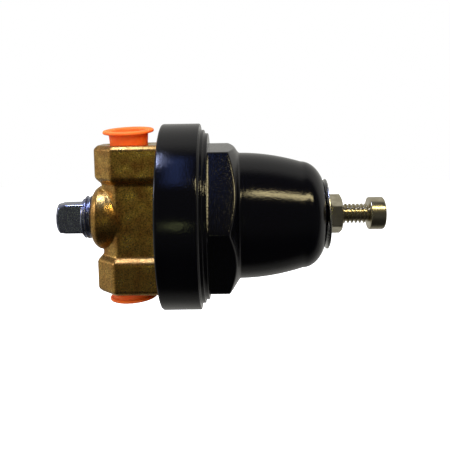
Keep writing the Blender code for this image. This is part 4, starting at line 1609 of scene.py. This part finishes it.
@dataclass
class PortCap:
    """Soft push-in cap, hollow, with a thin flange that stands off the port."""

    side: Side
    stand_off: float
    tilt_deg: float
    saucer: float
    port_face: float = 23.3
    flange_radius: float = 8.1
    flange_thick: float = 0.9
    top_radius: float = 6.25
    face_radius: float = 5.95
    tip_radius: float = 5.5
    reach: float = 7.2
    wall: float = 1.0
    columns: int = 120

    def build(self) -> None:
        """Skin the cap along X, bend its flange and aim it at its port."""
        top = self.stand_off
        floor = self.wall - self.reach
        profile = rounded(
            [
                (-self.reach, 0.0),
                (-self.reach, self.tip_radius, 0.8),
                (0.0, self.face_radius),
                (top, self.top_radius, 0.5),
                (top, self.flange_radius, 0.4),
                (top + self.flange_thick, self.flange_radius - 0.1, 0.4),
                (top + self.flange_thick, self.top_radius - self.wall + 0.2, 0.7),
                (floor, self.tip_radius - self.wall, 0.5),
                (floor, 0.0),
            ]
        )
        along, radius = spin(profile, self.columns)
        # The flange dips on one side and lifts on the other, more so near its rim.
        share = np.clip((along - top * 0.4) / (top * 0.6), 0.0, 1.0)
        lean = -np.cos(bearings(self.columns)) * self.saucer
        bent = along + share * (radius / self.flange_radius) ** 2 * lean
        mesh = skin("cap", bent, radius, loop=False)
        sign = self.side.value
        name = "upper_cap" if sign > 0 else "lower_cap"
        aim = Matrix.Rotation(-sign * math.pi / 2 - math.radians(self.tilt_deg), 4, "Y")
        mesh.transform(Matrix.Translation((0, 0, sign * self.port_face * MM)) @ aim)
        report(place(mesh, f"{name}_looks", Finish.ORANGE), name, f"{name[:5]}_port_cap")


@dataclass
class RolledDiaphragm:
    """Rubber diaphragm with a rolled convolution, skinned in sectors."""

    face: float = 17.3
    thick: float = 0.8
    hole: float = 2.3
    edge: float = 25.8
    roll_radius: float = 17.3
    roll_half: float = 2.9
    rise: float = 1.1
    bend_start: float = 14.0
    bend_end: float = 20.2
    sectors: int = 12
    columns: int = 8

    def section(self) -> np.ndarray:
        """Lay out the section, out along its lower side and back along its upper one.

        Returns:
            Axial place and radius of each point.
        """
        roll = self.roll_radius + np.linspace(-self.roll_half, self.roll_half, 25)
        radius = np.concatenate([[self.hole, self.bend_start - 0.8], roll, [self.edge]])
        share = np.clip(np.abs(radius - self.roll_radius) / self.roll_half, 0.0, 1.0)
        lower = np.stack([self.face + self.rise * (1.0 + np.cos(math.pi * share)) / 2, radius], -1)
        return np.concatenate([lower, lower[::-1] + (self.thick, 0.0)])

    def build(self) -> None:
        """Skin every sector of the rolled section."""
        section = self.section()
        count = len(section)
        half = TURN / self.sectors / 2
        row, column = np.divmod(np.arange(count * self.columns), self.columns)
        wide = self.columns + 1
        below = (row + 1) % count
        here, there = row * wide + column, below * wide + column
        sides = np.stack([here, here + 1, there + 1, there], -1)
        step = np.arange(count // 2 - 1)
        end = np.stack([step, step + 1, count - 2 - step, count - 1 - step], -1) * wide
        faces = np.concatenate([sides, end, end + self.columns])
        for number in range(self.sectors):
            middle = (2 * number + 1) * half
            angle = middle + np.linspace(-half, half, wide)
            places = np.stack(
                [
                    np.repeat(section[:, :1], wide, axis=1),
                    -section[:, 1:] * np.cos(angle),
                    section[:, 1:] * np.sin(angle),
                ],
                -1,
            ).reshape(-1, 3)
            name = f"diaphragm_sector_{number + 1:02d}"
            piece = place(make_mesh(name, places, faces), name, Finish.RUBBER)
            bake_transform(piece)
            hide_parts("diaphragm")
        log.info("diaphragm: %d sectors between plunger and regulator", self.sectors)


class InnerPieces:
    """Springs, and finishes for the CAD pieces that stay as they are."""

    NODE_FINISHES = {
        "spring_button": Finish.ZINC,
        "thrust_ball": Finish.STAINLESS,
        "diaphragm_plate": Finish.ZINC,
        "diaphragm_nut": Finish.TURNED_BRASS,
        "slip_ring": Finish.TURNED_BRASS,
        "diaphragm_washer": Finish.TURNED_BRASS,
        "valve_stem": Finish.STAINLESS,
        "valve_seat": Finish.STAINLESS,
        "seat_gasket": Finish.FIBRE,
        "poppet": Finish.TURNED_BRASS,
        "poppet_disc": Finish.RUBBER,
        "stem_guide": Finish.TURNED_BRASS,
        "inlet_screen": Finish.STAINLESS,
    }

    def build(self) -> None:
        """Dress the CAD pieces and grow both springs."""
        for name, finish in self.NODE_FINISHES.items():
            node = frame["nodes"][name]
            for slot in node.material_slots:
                slot.material = finish.material()
            log.info("%s dressed in %s", name, finish.value.name)
        main = Coil(
            name="main_coil", start=20.4, length=24.4, radius=11.2, wire=1.15, active=4.0, closed=0.8
        )
        main_spring = place(main.build(Finish.SPRING_STEEL), main.name, Finish.SPRING_STEEL)
        report(main_spring, "regulator", "main_spring")
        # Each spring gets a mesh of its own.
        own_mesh(main_spring)
        back = Coil(
            name="return_coil", start=-9.7, length=6.2, radius=2.45, wire=0.3, active=3.4, closed=1.0
        )
        return_spring = place(back.build(Finish.STAINLESS), back.name, Finish.STAINLESS)
        report(return_spring, "regulator", "return_spring")
        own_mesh(return_spring)


@dataclass(frozen=True)
class Grade:
    """Brightness of the room that changes along one axis of the view direction."""

    axis: int
    start: float
    end: float
    low: float
    high: float
    curve: str = "SMOOTHSTEP"


@dataclass(frozen=True)
class SoftBox:
    """One rectangular lamp, in millimetres and watts, with its width along X."""

    name: str
    spot: tuple[float, float, float]
    size: tuple[float, float]
    watts: float
    colour: str


@dataclass
class Studio:
    """Floor, light and camera."""

    # What gloss mirrors: a grey sweep behind and a paler wall to the left, over a dark table that
    # lifts again far behind. Matt surfaces get the fill, which comes mostly from above.
    ROOM = {
        "sweep": Grade(1, -0.1, 0.3, 0.055, 0.48),
        "wall": Grade(0, -0.9, -0.35, 0.4, 0.0),
        "table": Grade(2, -0.75, -0.2, 0.35, 1.0),
        "far": Grade(1, 0.1, 0.6, 0.0, 0.7, "LINEAR"),
        "fill": Grade(2, -0.6, 0.6, 0.02, 1.5, "LINEAR"),
    }
    # The ring mirrors the blue and the olive box, the dome the warm one, and the brass the rest.
    LAMPS = (
        SoftBox("blue_box", (-30, -222, 450), (56, 330), 0.09, "#7C9BFF"),
        SoftBox("warm_box", (272, -334, 372), (380, 66), 1.2, "#FFEDB4"),
        SoftBox("olive_box", (-30, -510, -14), (58, 44), 0.02, "#F4FFB0"),
        SoftBox("ledge_box", (-136, -88, 485), (66, 140), 1.3, "#C0CCFF"),
        SoftBox("boss_box", (-450, -70, 200), (110, 110), 0.4, "#E2E4FF"),
    )

    middle_x: float = 25.0

    camera_x: float = 31.7
    camera_z: float = 33.74
    distance: float = 186.05
    yaw_deg: float = 0.41
    pitch_deg: float = 5.88
    roll_deg: float = -0.9
    focal_px: float = 586.11
    picture_px: float = 450.0
    centre_row_px: float = 170.0
    sensor_mm: float = 36.0
    floor_z: float = -95.0
    floor_radius: float = 900.0

    def camera(self) -> None:
        """Place the camera as the photo's was."""
        spot = Vector((self.camera_x, -self.distance, self.camera_z)) * MM
        turn = (
            Matrix.Rotation(math.radians(self.yaw_deg), 4, "Z")
            @ Matrix.Rotation(math.radians(90.0 - self.pitch_deg), 4, "X")
            @ Matrix.Rotation(math.radians(self.roll_deg), 4, "Z")
        )
        data = bpy.data.cameras.new("camera")
        data.sensor_width = self.sensor_mm
        data.lens = self.focal_px / self.picture_px * self.sensor_mm
        # The photo is a crop whose optical centre lies above its middle.
        data.shift_y = (self.centre_row_px - self.picture_px / 2) / self.picture_px
        data.clip_start = 0.01
        data.clip_end = 20.0
        camera = bpy.data.objects.new("camera", data)
        camera.matrix_world = Matrix.Translation(spot) @ turn
        bpy.context.scene.collection.objects.link(camera)
        bpy.context.scene.camera = camera

    def world(self) -> None:
        """Light the scene from all round, and show plain white to the camera."""
        world = bpy.data.worlds.new("studio")
        bpy.context.scene.world = world
        world.cycles.sampling_method = "NONE"
        world.use_nodes = True
        tree = world.node_tree
        tree.nodes.clear()
        path = add_node(tree, "ShaderNodeLightPath")
        way = add_node(tree, "ShaderNodeTexCoord")["Generated"]
        parts = add_node(tree, "ShaderNodeSeparateXYZ", {0: way})
        band = {
            name: add_node(
                tree,
                "ShaderNodeMapRange",
                {
                    "Value": parts[grade.axis],
                    "From Min": grade.start,
                    "From Max": grade.end,
                    "To Min": grade.low,
                    "To Max": grade.high,
                },
                interpolation_type=grade.curve,
            )[0]
            for name, grade in self.ROOM.items()
        }
        mirrored = add_node(
            tree, "ShaderNodeMath", {0: band["sweep"], 1: band["wall"]}, operation="MAXIMUM"
        )[0]
        shade = add_node(
            tree, "ShaderNodeMath", {0: band["table"], 1: band["far"]}, operation="MAXIMUM"
        )[0]
        dimmed = add_node(tree, "ShaderNodeMath", {0: mirrored, 1: shade}, operation="MULTIPLY")[0]
        tints = (("#FFFFFF", band["fill"]), ("#FFFDF6", dimmed), ("#FFFFFF", 1.0))
        soft, room, plain = (
            add_node(tree, "ShaderNodeBackground", {"Color": linear(tint), "Strength": power})[0]
            for tint, power in tints
        )
        lit = add_node(tree, "ShaderNodeMixShader", {0: path["Is Glossy Ray"], 1: soft, 2: room})[0]
        shown = add_node(tree, "ShaderNodeMixShader", {0: path["Is Camera Ray"], 1: lit, 2: plain})[0]
        add_node(tree, "ShaderNodeOutputWorld", {"Surface": shown})

    def lamp(self, box: SoftBox) -> None:
        """Hang one soft box, aimed at the middle of the object.

        Args:
            box: the lamp's place, size, power and colour.
        """
        data = bpy.data.lights.new(box.name, "AREA")
        data.shape = "RECTANGLE"
        data.size, data.size_y = (side * MM for side in box.size)
        data.energy = box.watts
        data.color = linear(box.colour)[:3]
        lamp = bpy.data.objects.new(box.name, data)
        start = Vector(box.spot) * MM
        back = (start - Vector((self.middle_x * MM, 0, 0))).normalized()
        side = (Vector((1, 0, 0)) - back * back.x).normalized()
        turn = Matrix((side, back.cross(side), back)).transposed().to_4x4()
        lamp.matrix_world = Matrix.Translation(start) @ turn
        bpy.context.scene.collection.objects.link(lamp)

    def floor(self) -> None:
        """Lay a plain pale floor that keeps the object's shadow."""
        edge = self.floor_radius
        slab = [(-1.0, 0.0), (-1.0, edge), (0.0, edge), (0.0, 0.0)]
        mesh = lathe("floor", slab, TOOL_COLUMNS, loop=False)
        mesh.transform(Matrix.Rotation(-math.pi / 2, 4, "Y"))
        mesh.transform(Matrix.Translation((self.middle_x * MM, 0, self.floor_z * MM)))
        material = bpy.data.materials.new("white_paper")
        material.use_nodes = True
        inputs = {
            "Base Color": linear("#F4F4F4"),
            "Roughness": 0.9,
            "Emission Color": linear("#FFFFFF"),
            "Emission Strength": 0.6,
        }
        set_inputs(material.node_tree, material.node_tree.nodes["Principled BSDF"], inputs)
        mesh.materials.append(material)
        floor = bpy.data.objects.new("floor", mesh)
        bpy.context.scene.collection.objects.link(floor)
        floor.visible_glossy = False
        floor.visible_diffuse = False

    def build(self) -> None:
        """Set up the whole studio."""
        bpy.context.scene.view_settings.view_transform = "Standard"
        self.camera()
        self.world()
        self.floor()
        for box in self.LAMPS:
            self.lamp(box)


def main() -> None:
    """Build every piece in order, then the studio."""
    logging.basicConfig(level=logging.INFO, format="%(message)s")
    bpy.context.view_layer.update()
    BodyCasting().build()
    PipePlug().build()
    SpringChamber().build()
    NameDisc().build()
    LockNut().build()
    AdjustingScrew().build()
    PortCap(Side.UPPER, stand_off=3.7, tilt_deg=1.4, saucer=0.8).build()
    PortCap(Side.LOWER, stand_off=2.3, tilt_deg=3.0, saucer=0.0, flange_radius=7.7).build()
    RolledDiaphragm().build()
    InnerPieces().build()
    Studio().build()
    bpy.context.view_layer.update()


if __name__ == "__main__":
    main()
